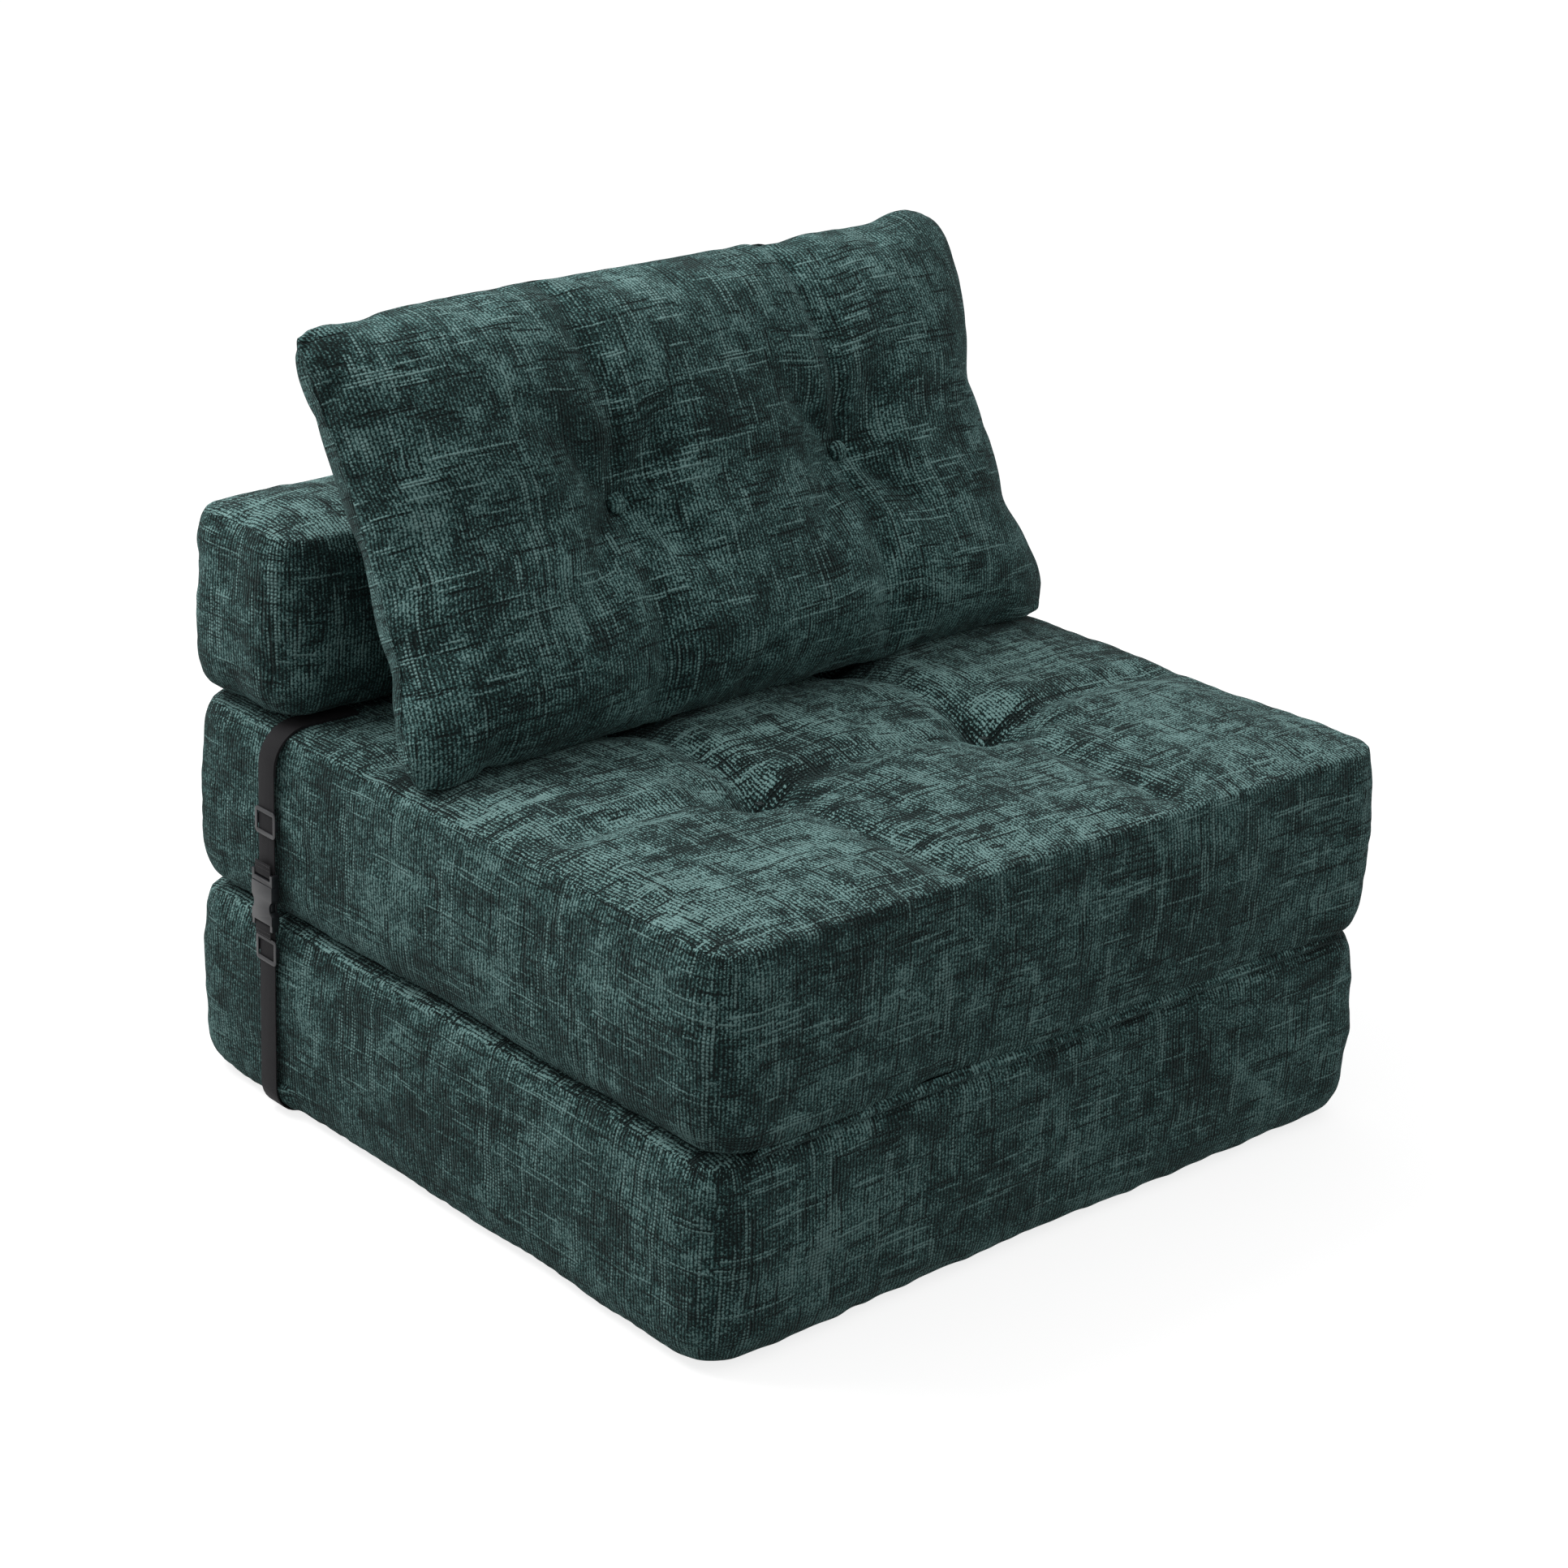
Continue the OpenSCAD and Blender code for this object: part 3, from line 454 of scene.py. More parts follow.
plastic = make_plastic()
webbing = make_webbing()
foam = make_plain("open foam", (0.66, 0.58, 0.36), (0.80, 0.73, 0.50), 700.0, 0.95, 0.8)
filling = make_plain("soft fibre", (0.74, 0.74, 0.72), (0.86, 0.86, 0.84), 240.0, 0.95, 0.8)
zip_tape = make_plain("zip tape", (0.008, 0.016, 0.017), (0.018, 0.032, 0.033), 900.0, 0.8, 0.6)
enamel = make_plain(
    "dark enamel", (0.022, 0.023, 0.025), (0.036, 0.037, 0.040), 300.0, 0.3, 0.05, 0.6)
thread = make_plain("sewing thread", (0.012, 0.024, 0.025), (0.030, 0.052, 0.052), 1500.0, 0.7, 0.6)
black_thread = make_plain(
    "black thread", (0.010, 0.010, 0.011), (0.04, 0.04, 0.044), 1500.0, 0.6, 0.6)
print("materials:", len(bpy.data.materials))

# %% [markdown]
# A few helpers do the same work for every cover. One reads a mesh's points as numbers, and one
# writes them back. One keeps what the modifiers give and removes them. One takes the outer
# skin of a packed cover, because that cover also has an inner wall that nobody sees.

# %% Helpers for meshes


def points_of(piece):
    values = np.empty(len(piece.data.vertices) * 3)
    piece.data.vertices.foreach_get("co", values)
    return values.reshape(-1, 3)


def normals_of(piece):
    values = np.empty(len(piece.data.vertices) * 3)
    piece.data.vertices.foreach_get("normal", values)
    return values.reshape(-1, 3)


def corners_of(piece):
    """The number of the point at each corner of each face."""
    numbers = np.empty(len(piece.data.loops), dtype=np.int64)
    piece.data.loops.foreach_get("vertex_index", numbers)
    return numbers


def move_to(piece, points):
    piece.data.vertices.foreach_set("co", np.ascontiguousarray(points, dtype=float).ravel())
    piece.data.update()


def new_piece(name, points, faces, material):
    mesh = bpy.data.meshes.new(name)
    mesh.from_pydata([tuple(p) for p in points], [], [tuple(f) for f in faces])
    mesh.update()
    mesh.shade_smooth()
    mesh.materials.append(material)
    piece = bpy.data.objects.new(name, mesh)
    bpy.context.scene.collection.objects.link(piece)
    return piece


def settle(piece):
    """Keeps the mesh that the modifiers give, and removes them."""
    bpy.context.view_layer.update()
    graph = bpy.context.evaluated_depsgraph_get()
    made = bpy.data.meshes.new_from_object(piece.evaluated_get(graph), depsgraph=graph)
    piece.modifiers.clear()
    old = piece.data
    piece.data = made
    bpy.data.meshes.remove(old)
    made.name = piece.name
    made.shade_smooth()


def islands(bm):
    """Groups of faces that hang together."""
    left = set(bm.faces)
    found = []
    while left:
        group = [left.pop()]
        for face in group:
            for edge in face.edges:
                for other in edge.link_faces:
                    if other in left:
                        left.remove(other)
                        group.append(other)
        found.append(group)
    return found


def reach_of(group):
    spots = np.array([vert.co for face in group for vert in face.verts])
    return float(np.prod(spots.max(0) - spots.min(0) + MM))


def outer_skin(node, name, material):
    """A copy of the outer skin of a packed cover, with its points merged."""
    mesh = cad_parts[node].data.copy()
    bm = bmesh.new()
    bm.from_mesh(mesh)
    bmesh.ops.remove_doubles(bm, verts=bm.verts, dist=0.01 * MM)
    groups = sorted(islands(bm), key=reach_of)
    inner = [face for group in groups[:-1] for face in group]
    bmesh.ops.delete(bm, geom=inner, context="FACES")
    bm.to_mesh(mesh)
    bm.free()
    mesh.name = name
    mesh.materials.clear()
    mesh.materials.append(material)
    piece = bpy.data.objects.new(name, mesh)
    bpy.context.scene.collection.objects.link(piece)
    return piece


def modify(piece, kind, **settings):
    modifier = piece.modifiers.new(kind.lower(), kind)
    for key, value in settings.items():
        setattr(modifier, key, value)
    return modifier


def remesh(piece, voxel, rounds):
    """An even mesh of quads over the piece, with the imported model's flat facets smoothed out."""
    modify(piece, "REMESH", mode="VOXEL", voxel_size=voxel)
    modify(piece, "SMOOTH", factor=0.5, iterations=rounds)
    settle(piece)


# %% [markdown]
# Foam in a cover never lies dead flat: it presses the cloth out between the seams. A short
# cloth simulation with air pressure gives that swell. No point may move further than a set
# reach, so the cover keeps the size of the block.

# %% A cover that swells


def noise_at(points, scale, seed):
    """Smooth waves with values about -1 to 1, summed from sines in fixed random directions."""
    made = np.random.default_rng(seed)
    total = np.zeros(len(points))
    waves = 9
    for _ in range(waves):
        way = made.normal(size=3)
        way = way / np.linalg.norm(way) * made.uniform(0.6, 1.5)
        total += np.sin(points @ way * (2 * math.pi / scale) + made.uniform(0, 2 * math.pi))
    return total / math.sqrt(waves)


def swell(piece, pressure, reach, growth, sink, hold=None):
    """Blows the piece up like a cushion.

    The cloth is cut larger by growth. No point goes further than reach, or inwards by more
    than sink. hold gives each point's weight, 0 to 1, where stitches keep it in its place.
    """
    rest = points_of(piece)
    out = normals_of(piece)
    cloth = modify(piece, "CLOTH").settings
    cloth.quality = 4
    cloth.mass = 0.3
    cloth.tension_stiffness = 12
    cloth.compression_stiffness = 12
    cloth.bending_stiffness = 0.5
    cloth.use_pressure = True
    cloth.uniform_pressure_force = pressure
    cloth.shrink_min = -growth
    cloth.effector_weights.gravity = 0
    if hold is not None:
        group = piece.vertex_groups.new(name="held")
        for weight in np.unique(hold[hold > 0]):
            group.add([int(i) for i in np.flatnonzero(hold == weight)], float(weight), "REPLACE")
        cloth.vertex_group_mass = "held"
    scene = bpy.context.scene
    piece.modifiers[0].point_cache.frame_end = 20
    for step in range(1, 21):
        scene.frame_set(step)
    settle(piece)
    scene.frame_set(1)
    moved = points_of(piece) - rest
    rise = np.sum(moved * out, axis=1, keepdims=True)
    moved += out * (np.maximum(rise, -sink) - rise)
    length = np.linalg.norm(moved, axis=1, keepdims=True) + 1e-9
    move_to(piece, rest + moved / length * reach * np.tanh(length / reach))
    print(piece.name, "swelled by", round(float(rise.mean()) / MM, 1), "mm")


def divide(piece):
    modify(piece, "SUBSURF", levels=1, render_levels=1)
    settle(piece)


# %% [markdown]
# The cloth is cut in panels. On a block one panel comes up the front, over the top and down
# the back, and the sides go round the corners. The next helper gives each corner of each face
# its place on the flat cloth. Round an edge it counts the true length of the arc.

# %% The place of each point on the flat cloth


def wrap_corner(half_x, half_y, r, x, y):
    """Distance round the block, from the middle of its front, for points beside its walls."""
    ax = np.abs(x)
    flat_x, flat_y = half_x - r, half_y - r
    turn_front = np.arctan2(ax - flat_x, -(y + flat_y))
    turn_back = np.arctan2(y - flat_y, ax - flat_x)
    quarter = r * math.pi / 2
    at_corner = ax > flat_x
    on_front = half_y + y < half_x - ax
    on_back = half_y - y < half_x - ax
    side = flat_x + quarter + (y + flat_y)
    back = flat_x + 2 * quarter + 2 * flat_y + (flat_x - ax)
    s = np.where(on_back, back, np.where(on_front, ax, side))
    s = np.where(at_corner & (y < -flat_y), flat_x + r * turn_front, s)
    s = np.where(at_corner & (y > flat_y), flat_x + quarter + 2 * flat_y + r * turn_back, s)
    return s * np.sign(x)


def over_edge(inside, below, r):
    """Length along a rounded edge, from the end of the flat wall, for points in and below it."""
    return r * np.arctan2(np.maximum(r - below, 0), np.maximum(r - inside, 1e-6))


def write_weave(piece, values):
    """Stores the cloth place of each face corner as the attribute that the material reads."""
    layer = piece.data.attributes.new("weave", "FLOAT_VECTOR", "CORNER")
    layer.data.foreach_set("vector", np.ascontiguousarray(values, dtype=np.float32).ravel())


def write_worn(piece, values):
    """Stores how much each face corner is rubbed, 0 to 1."""
    layer = piece.data.attributes.new("sat_on", "FLOAT", "CORNER")
    layer.data.foreach_set("value", np.ascontiguousarray(values, dtype=np.float32).ravel())


def write_stretch_and_tuft_shade(piece, values):
    """Above 0 a button's tight, paler cloth; below 0 painted shade in pits, with pressed pile."""
    layer = piece.data.attributes.new("stretched", "FLOAT", "CORNER")
    layer.data.foreach_set("value", np.ascontiguousarray(values, dtype=np.float32))


def wrap_block(piece, low, high, corner_r, edge_r, panel):
    """Wraps the chenille round a block between two corners of its box."""
    mesh = piece.data
    loops = corners_of(piece)
    totals = np.empty(len(mesh.polygons), dtype=np.int64)
    mesh.polygons.foreach_get("loop_total", totals)
    normal = np.empty(len(mesh.polygons) * 3)
    mesh.polygons.foreach_get("normal", normal)
    normal = np.repeat(normal.reshape(-1, 3), totals, axis=0)
    centre = np.empty(len(mesh.polygons) * 3)
    mesh.polygons.foreach_get("center", centre)
    centre = np.repeat(centre.reshape(-1, 3), totals, axis=0)
    x, y, z = points_of(piece)[loops].T
    middle = (low + high) / 2
    half = (high - low) / 2
    round_s = wrap_corner(half.x, half.y, corner_r, x - middle.x, y - middle.y)
    seam = (np.abs(centre[:, 0]) < 0.02) & (centre[:, 1] > middle.y)
    round_s = np.where(seam, np.abs(round_s), round_s)
    wall = high.z - low.z - 2 * edge_r
    inside = np.minimum(half.x - np.abs(x - middle.x), half.y - np.abs(y - middle.y))
    over = over_edge(inside, high.z - z, edge_r)
    under = over_edge(inside, z - low.z, edge_r)
    up = np.clip(z - low.z - edge_r, 0, wall) + over - under
    away_x = half.x - np.abs(centre[:, 0] - middle.x)
    away_y = half.y - np.abs(centre[:, 1] - middle.y)
    walls_away = np.minimum(away_x, away_y)
    lying = (np.abs(normal[:, 2]) > 0.78) | (walls_away > 50 * MM)
    face_up = normal[:, 2] > 0
    arc = edge_r * math.pi / 2
    length = y - low.y - edge_r
    v_top = wall + arc + length
    v_low = -arc - length
    front = (np.abs(normal[:, 1]) > np.abs(normal[:, 0])) & (centre[:, 1] < middle.y)
    u = np.where(lying, x, round_s)
    v = np.where(lying, np.where(face_up, v_top, v_low), up)
    side_panel = np.where(front | lying, 0.0, 0.13)
    write_weave(piece, np.stack([u, v, panel + side_panel], axis=1))
    upward = normals_of(piece)[loops][:, 2]
    write_worn(piece, np.clip((upward - 0.35) / 0.5, 0, 1))


# %% [markdown]
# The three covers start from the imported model's skins. At the front hinge the seat's lower edge
# is squarer and hangs over the base's round one. The other lying edges are drawn a little
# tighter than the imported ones, as a seam does there. Slow and quick waves keep the faces from
# looking machined. Faces that rest on the floor or on another block stay flat.

# %% The covers of the blocks
VOXEL = 8 * MM
EDGE_R = 33 * MM
CORNER_R = 42 * MM
HINGE_R = 18 * MM
EDGE_TIGHT = 17 * MM


def square_edge(points, y_wall, z_wall, y_way, z_way, r, power):
    """Makes a rounded lying edge squarer. The ways point from inside the block to its walls."""
    a = (points[:, 1] - (y_wall - y_way * r)) * y_way / r
    b = (points[:, 2] - (z_wall - z_way * r)) * z_way / r
    near = (a > 0) & (b > 0)
    a, b = np.maximum(a, 1e-9), np.maximum(b, 1e-9)
    round_now = np.hypot(a, b)
    square = (a ** power + b ** power) ** (1 / power)
    grow = np.where(near, round_now / square, 1.0)
    out = points.copy()
    out[:, 1] = np.where(near, y_wall - y_way * r + y_way * r * a * grow, points[:, 1])
    out[:, 2] = np.where(near, z_wall - z_way * r + z_way * r * b * grow, points[:, 2])
    return out


def tight_edges(points, normals, hinges):
    """Draws the lying edges out along their slope, most at the top, not at a fabric hinge."""
    slope = 1 - np.maximum(np.abs(normals[:, 2]), np.hypot(normals[:, 0], normals[:, 1]))
    slope = slope * np.where(normals[:, 2] > 0, 1.0, 0.3)
    for y, z in hinges:
        near = np.hypot(points[:, 1] - y, points[:, 2] - z) / (30 * MM)
        slope = slope * (1 - np.exp(-near ** 4))
    return points + normals * slope[:, None] * EDGE_TIGHT


def make_cover(name, node, seed, hinges):
    cover = outer_skin(node, name, chenille)
    low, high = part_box(node)
    remesh(cover, VOXEL, 4)
    swell(cover, 8.0, 4 * MM, 0.012, 0.8 * MM)
    divide(cover)
    points = points_of(cover)
    normals = normals_of(cover)
    points = tight_edges(points, normals, hinges)
    slow = noise_at(points, 0.26, seed) * 1.3 * MM
    quick = noise_at(points, 0.05, seed + 1) * 0.6 * MM
    quick = quick + noise_at(points, 0.022, seed + 2) * 0.35 * MM
    points = points + normals * (slow + quick)[:, None]
    return cover, points, low, high


front_y, base_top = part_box("base_cover")[0].y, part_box("base_cover")[1].z
back_y, bolster_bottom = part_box("bolster_cover")[1].y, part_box("bolster_cover")[0].z
FRONT_HINGE = (front_y, base_top)
REAR_HINGE = (back_y, bolster_bottom)
base_cover, base_points, base_low, base_high = make_cover(
    "base_chenille_cover", "base_cover", 11, [FRONT_HINGE])
seat_cover, seat_points, seat_low, seat_high = make_cover(
    "seat_chenille_cover", "seat_cover", 23, [FRONT_HINGE, REAR_HINGE])
bolster_cover, bolster_points, bolster_low, bolster_high = make_cover(
    "bolster_chenille_cover", "bolster_cover", 37, [REAR_HINGE])
seat_flat_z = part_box("bolster_cover")[0].z - 3.2 * MM
print("cover points:", len(base_points), len(seat_points), len(bolster_points))

# %% [markdown]
# The seat has four tufts, where thread pulls the cover down into the foam. From each tuft
# short folds run out like rays, and shallow sewn creases join the tufts and go on to the
# edges. The dips are written as a formula of the distance to the nearest tuft.

# %% Tufts and creases of the seat
TUFT_X = 144 * MM
TUFT_Y = 118 * MM
PIT_DEPTH, PIT_REACH = 12 * MM, 0.040
TIP_DEPTH, TIP_REACH = 7 * MM, 0.015
CREASE_DEPTH, CREASE_W = 7 * MM, 0.012
RIDGE_RISE, RIDGE_PLACE, RIDGE_W = 2.6 * MM, 0.034, 0.017
# How deep a dip must be for the full painted shade in the seat's tufts and creases.
TUFT_SHADE_DEPTH = 9 * MM
FULL_RELIEF = np.array([0, 0, 30 * MM])
block_middle_y = (base_low.y + base_high.y) / 2
strap_low, strap_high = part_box("left_lower_strap")
STRAP_Y = (strap_low.y + strap_high.y) / 2
STRAP_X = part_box("base_cover")[1].x - 0.2 * MM


def tuft_relief(x, y):
    """Height to add to the seat's top: pointed pits, folds that run into them and creases."""
    v = y - block_middle_y
    near_x = np.abs(np.abs(x) - TUFT_X)
    near_y = np.abs(np.abs(v) - TUFT_Y)
    far = np.hypot(near_x, near_y)
    turn = np.arctan2(np.abs(v) - TUFT_Y, np.abs(x) - TUFT_X)
    which = 2.1 * np.sign(x) + 0.9 * np.sign(v)
    rays = np.cos(3 * turn + which) + 0.6 * np.cos(5 * turn - 2 * which)
    fold = 2.2 * MM * rays * np.exp(-((far - 0.045) / 0.026) ** 2)
    pit = -PIT_DEPTH * np.exp(-(far / PIT_REACH) ** 2) - TIP_DEPTH * np.exp(-(far / TIP_REACH) ** 2)
    fade_x = 0.5 + 0.5 * np.exp(-(near_x / 0.09) ** 2)
    fade_y = 0.5 + 0.5 * np.exp(-(near_y / 0.09) ** 2)
    line = np.maximum(
        fade_y * np.exp(-(near_x / CREASE_W) ** 2),
        fade_x * np.exp(-(near_y / CREASE_W) ** 2))
    beside = np.maximum(
        fade_y * np.exp(-((near_x - RIDGE_PLACE) / RIDGE_W) ** 2),
        fade_x * np.exp(-((near_y - RIDGE_PLACE) / RIDGE_W) ** 2))
    return fold + pit - CREASE_DEPTH * line + RIDGE_RISE * beside


def seat_relief(points):
    """The relief at each point: only near the seat's top, before the bolster, off the edges."""
    x, y, z = points.T
    top = np.clip((z - (seat_high.z - 60 * MM)) / (30 * MM), 0, 1)
    open_part = np.clip((bolster_low.y - 10 * MM - y) / (30 * MM), 0, 1)
    inner = np.clip((0.43 - np.abs(x)) / 0.05, 0, 1) * np.clip((y - seat_low.y) / 0.05, 0, 1)
    return tuft_relief(x, y) * top * open_part * inner


def fill_strap_bend(points, low_z):
    """Under a strap the base's lower edge keeps its packed round, so that the strap lies on it."""
    lane = np.exp(-(np.abs(points[:, 1] - STRAP_Y) / (22 * MM)) ** 4)
    side = np.sign(points[:, 0])
    a = np.abs(points[:, 0]) - (STRAP_X - EDGE_R)
    b = points[:, 2] - (low_z + EDGE_R)
    near = (a > 0) & (b < 0)
    reach = np.maximum(np.hypot(a, b), 1e-6)
    grow = np.where(near, 1 + (EDGE_R / reach - 1) * lane, 1.0)
    out = points.copy()
    out[:, 0] = np.where(near, side * (STRAP_X - EDGE_R + a * grow), points[:, 0])
    out[:, 2] = np.where(near, low_z + EDGE_R + b * grow, points[:, 2])
    return out


def keep_flat(points, low_z, high_z, back_y):
    """Holds a block's points between two levels, before its back and inside its straps."""
    past_strap = np.abs(points[:, 1] - STRAP_Y) / (30 * MM)
    side = STRAP_X + 4 * MM * (1 - np.exp(-past_strap ** 2))
    points[:, 0] = np.clip(points[:, 0], -side, side)
    points[:, 2] = np.clip(points[:, 2], low_z, high_z)
    points[:, 1] = np.minimum(points[:, 1], back_y)
    return points


seat_points[:, 2] += seat_relief(seat_points)
seat_points = square_edge(seat_points, seat_low.y + 3 * MM, seat_low.z, -1, -1, HINGE_R, 2.7)
seat_points = keep_flat(seat_points, seat_low.z, seat_high.z, base_high.y)
under_bolster = seat_points[:, 1] > bolster_low.y - 4 * MM
pressed_z = np.minimum(seat_points[:, 2], seat_flat_z)
seat_points[:, 2] = np.where(under_bolster, pressed_z, seat_points[:, 2])
move_to(seat_cover, seat_points)

base_points = fill_strap_bend(base_points, base_low.z)
base_points = keep_flat(base_points, base_low.z, base_high.z, base_high.y)
move_to(base_cover, base_points)

bolster_points = keep_flat(bolster_points, bolster_low.z, bolster_high.z + 2 * MM, base_high.y)
move_to(bolster_cover, bolster_points)

wrap_block(base_cover, base_low, base_high, CORNER_R, EDGE_R, 1.0)
wrap_block(seat_cover, seat_low, seat_high, CORNER_R, EDGE_R, 4.0)
wrap_block(bolster_cover, bolster_low, bolster_high, CORNER_R, EDGE_R, 7.0)
# Painted shade: where the seat's tufts and creases dip by more than about 3 mm, the cloth is
# darkened for the shade in them and the pile pressed together there.
seat_dip = seat_relief(points_of(seat_cover) + FULL_RELIEF)
pressed_and_shaded = np.minimum(seat_dip / TUFT_SHADE_DEPTH + 0.3, 0)
write_stretch_and_tuft_shade(seat_cover, pressed_and_shaded[corners_of(seat_cover)])
for piece, node, body in (
        (base_cover, "base_cover", "base"),
        (seat_cover, "seat_cover", "seat"),
        (bolster_cover, "bolster_cover", "bolster")):
    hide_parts(node)
    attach(piece, body)
    print(piece.name, "triangles:", 2 * len(piece.data.polygons))

# %% [markdown]
# The pillow is a plump case of two panels, sewn together round the edge. Its sides are drawn in
# between the four corners, and two covered buttons pull the middle in. Its form is written
# in its own frame, across and up its slope, and then leant back onto the bolster. The
# cloth simulation lets the case grow a little while the seam at the buttons is held,
# and that gives the folds that run out from them.

# %% The pillow
PILLOW_W = 842 * MM
PILLOW_H = 426 * MM
PILLOW_FRONT = 62 * MM
PILLOW_BACK = 84 * MM
PILLOW_DRAW = 24 * MM
PILLOW_LEAN = math.radians(25)
PILLOW_TURN = math.radians(2.8)
BUTTON_X = 147 * MM
BUTTON_SHIFT = 14 * MM
BUTTON_WAIST = 64 * MM
CREASE_REACH = 34 * MM
TUFT_REACH = 46 * MM
TUFT_FLAT = 18 * MM
FOLD_ABOVE = (3.5 * MM, 7 * MM)

pillow_turn = Matrix.Rotation(PILLOW_TURN, 3, "Z") @ Matrix.Rotation(-PILLOW_LEAN, 3, "X")
front_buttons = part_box("pillow_front_buttons")
back_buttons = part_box("pillow_back_buttons")
button_middle = (sum(front_buttons, Vector()) + sum(back_buttons, Vector())) / 4
pillow_place = button_middle - pillow_turn @ Vector((BUTTON_SHIFT, 0, PILLOW_H / 2))
pillow_rest_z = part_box("pillow_cover")[0].z


def pillow_swell(a, b, full_swell):
    """Distance of a panel from the seam at the place (a, b), each -1 to 1."""
    x = a * (PILLOW_W / 2 - PILLOW_DRAW)
    v = b * PILLOW_H / 2
    full = full_swell * np.sqrt(np.maximum((1 - a ** 6) * (1 - b ** 4), 0))
    beside = np.abs(np.abs(x - BUTTON_SHIFT) - BUTTON_X)
    up_line = np.exp(-(beside / CREASE_REACH) ** 2)
    seam = np.maximum(up_line, 0.7 * np.exp(-(v / CREASE_REACH) ** 2))
    away = np.maximum(0, np.maximum(beside, np.abs(v)) - TUFT_FLAT)
    flat = np.exp(-(away / TUFT_REACH) ** 2)
    dip = np.maximum(9 * MM * seam * full / full_swell, (full - BUTTON_WAIST / 2) * flat)
    return np.maximum(0, full - dip)


def bump_at(value, place, width):
    return np.exp(-((value - place) / width) ** 2)


def outline_moves(a, b):
    """How the edge strays from a drawn-in rectangle: blunt corners, an arch, nicks and lobes."""
    corner = (np.abs(a) * np.abs(b)) ** 7
    side = np.abs(a) ** 6
    end = np.abs(b) ** 5
    move_u = -np.sign(a) * 10 * MM * corner
    move_v = -np.sign(b) * 6 * MM * corner
    move_v += 11 * MM * np.where(b > 0, b ** 2 * (1 - a ** 4), 0)
    right = 6 * MM * bump_at(b, 0.62, 0.2) - 7 * MM * bump_at(b, 0.22, 0.1)
    right += 4 * MM * bump_at(b, -0.1, 0.14) - 7 * MM * bump_at(b, -0.42, 0.09)
    right += 9 * MM * bump_at(b, -0.8, 0.2)
    left = 4 * MM * bump_at(b, -0.75, 0.2) - 4 * MM * bump_at(b, -0.45, 0.1)
    move_u += side * np.where(a > 0, right, -left)
    low = -8 * MM * bump_at(a, -0.93, 0.06) + 6 * MM * bump_at(a, -0.80, 0.035)
    low += -5 * MM * bump_at(a, 0.15, 0.4) - 5 * MM * bump_at(a, 0.9, 0.08)
    high = 2 * MM * bump_at(a, -0.93, 0.05) - 3 * MM * bump_at(a, -0.82, 0.06)
    high += -5 * MM * bump_at(a, 0.42, 0.07) + 12 * MM * bump_at(a, 0.88, 0.09)
    move_v += end * np.where(b > 0, high, low)
    return move_u, move_v


def pillow_panel(a, b, way):
    """Points of a panel in the pillow's own frame: way is -1 for the front, 1 for the back."""
    move_u, move_v = outline_moves(a, b)
    u = a * (PILLOW_W / 2 - PILLOW_DRAW * (1 - b ** 2)) + move_u
    draw = np.where(b < 0, PILLOW_DRAW / 3, PILLOW_DRAW / 8)
    v = PILLOW_H / 2 + b * (PILLOW_H / 2 - draw * (1 - a ** 2)) + move_v
    w = pillow_swell(a, b, PILLOW_FRONT if way < 0 else PILLOW_BACK)
    edge = np.sqrt(np.maximum((1 - a ** 12) * (1 - b ** 10), 0))
    w += 8 * MM * bump_at(np.abs(a), 1, 0.14) * bump_at(np.abs(b), 1, 0.25) * edge
    if way < 0:
        w += 12 * MM * bump_at(b, -0.72, 0.25) * (1 - a ** 4) * edge
    return np.stack([u, way * w, v], axis=-1)


def lengths_along(grid, axis):
    """Length along the grid's lines, measured from their middle."""
    steps = np.linalg.norm(np.diff(grid, axis=axis), axis=-1)
    total = np.concatenate([np.zeros_like(np.take(steps, [0], axis)), np.cumsum(steps, axis)], axis)
    return total - np.take(total, [total.shape[axis] // 2], axis)


def pillow_mesh(across, up):
    """Both panels as one closed grid, with lines closer together near the seam."""
    a = np.sin(np.linspace(-1, 1, across) * math.pi / 2 * 0.97) / math.sin(math.pi / 2 * 0.97)
    b = np.sin(np.linspace(-1, 1, up) * math.pi / 2 * 0.95) / math.sin(math.pi / 2 * 0.95)
    grid_a, grid_b = np.meshgrid(a, b, indexing="ij")
    front = pillow_panel(grid_a, grid_b, -1)
    back = pillow_panel(grid_a, grid_b, 1)
    cloth_u = lengths_along(front, 0)
    cloth_v = lengths_along(front, 1)
    cloth = np.stack([cloth_u, cloth_v, np.zeros_like(cloth_u)], axis=-1)
    rim = np.zeros((across, up), dtype=bool)
    rim[[0, -1], :] = True
    rim[:, [0, -1]] = True
    index_front = np.arange(across * up).reshape(across, up)
    index_back = np.where(rim, index_front, 0)
    index_back[~rim] = across * up + np.arange((~rim).sum())
    points = np.concatenate([front.reshape(-1, 3), back[~rim]])
    cloth = np.concatenate([cloth.reshape(-1, 3), cloth[~rim]])
    faces = []
    for i in range(across - 1):
        for j in range(up - 1):
            f = index_front
            k = index_back
            faces.append((f[i, j], f[i + 1, j], f[i + 1, j + 1], f[i, j + 1]))
            faces.append((k[i, j], k[i, j + 1], k[i + 1, j + 1], k[i + 1, j]))
    return points, cloth, faces


def stand_pillow(points):
    """From the pillow's own frame to its place against the bolster."""
    return points @ np.array(pillow_turn).T + np.array(pillow_place)


def bolster_front(z):
    """Where the bolster's front surface lies at the height z."""
    up = np.clip((z - (bolster_high.z - 6 * MM - EDGE_R)) / EDGE_R, 0, 1)
    return bolster_low.y + 3 * MM + EDGE_R * (1 - np.sqrt(1 - np.minimum(up, 0.98) ** 2))


def distance_to_buttons(own):
    """Distance of each point from the nearer button, seen from the front of the pillow."""
    return np.min([np.hypot(own[:, 0] - bx, own[:, 2] - bz) for bx, bz in button_spots], axis=0)


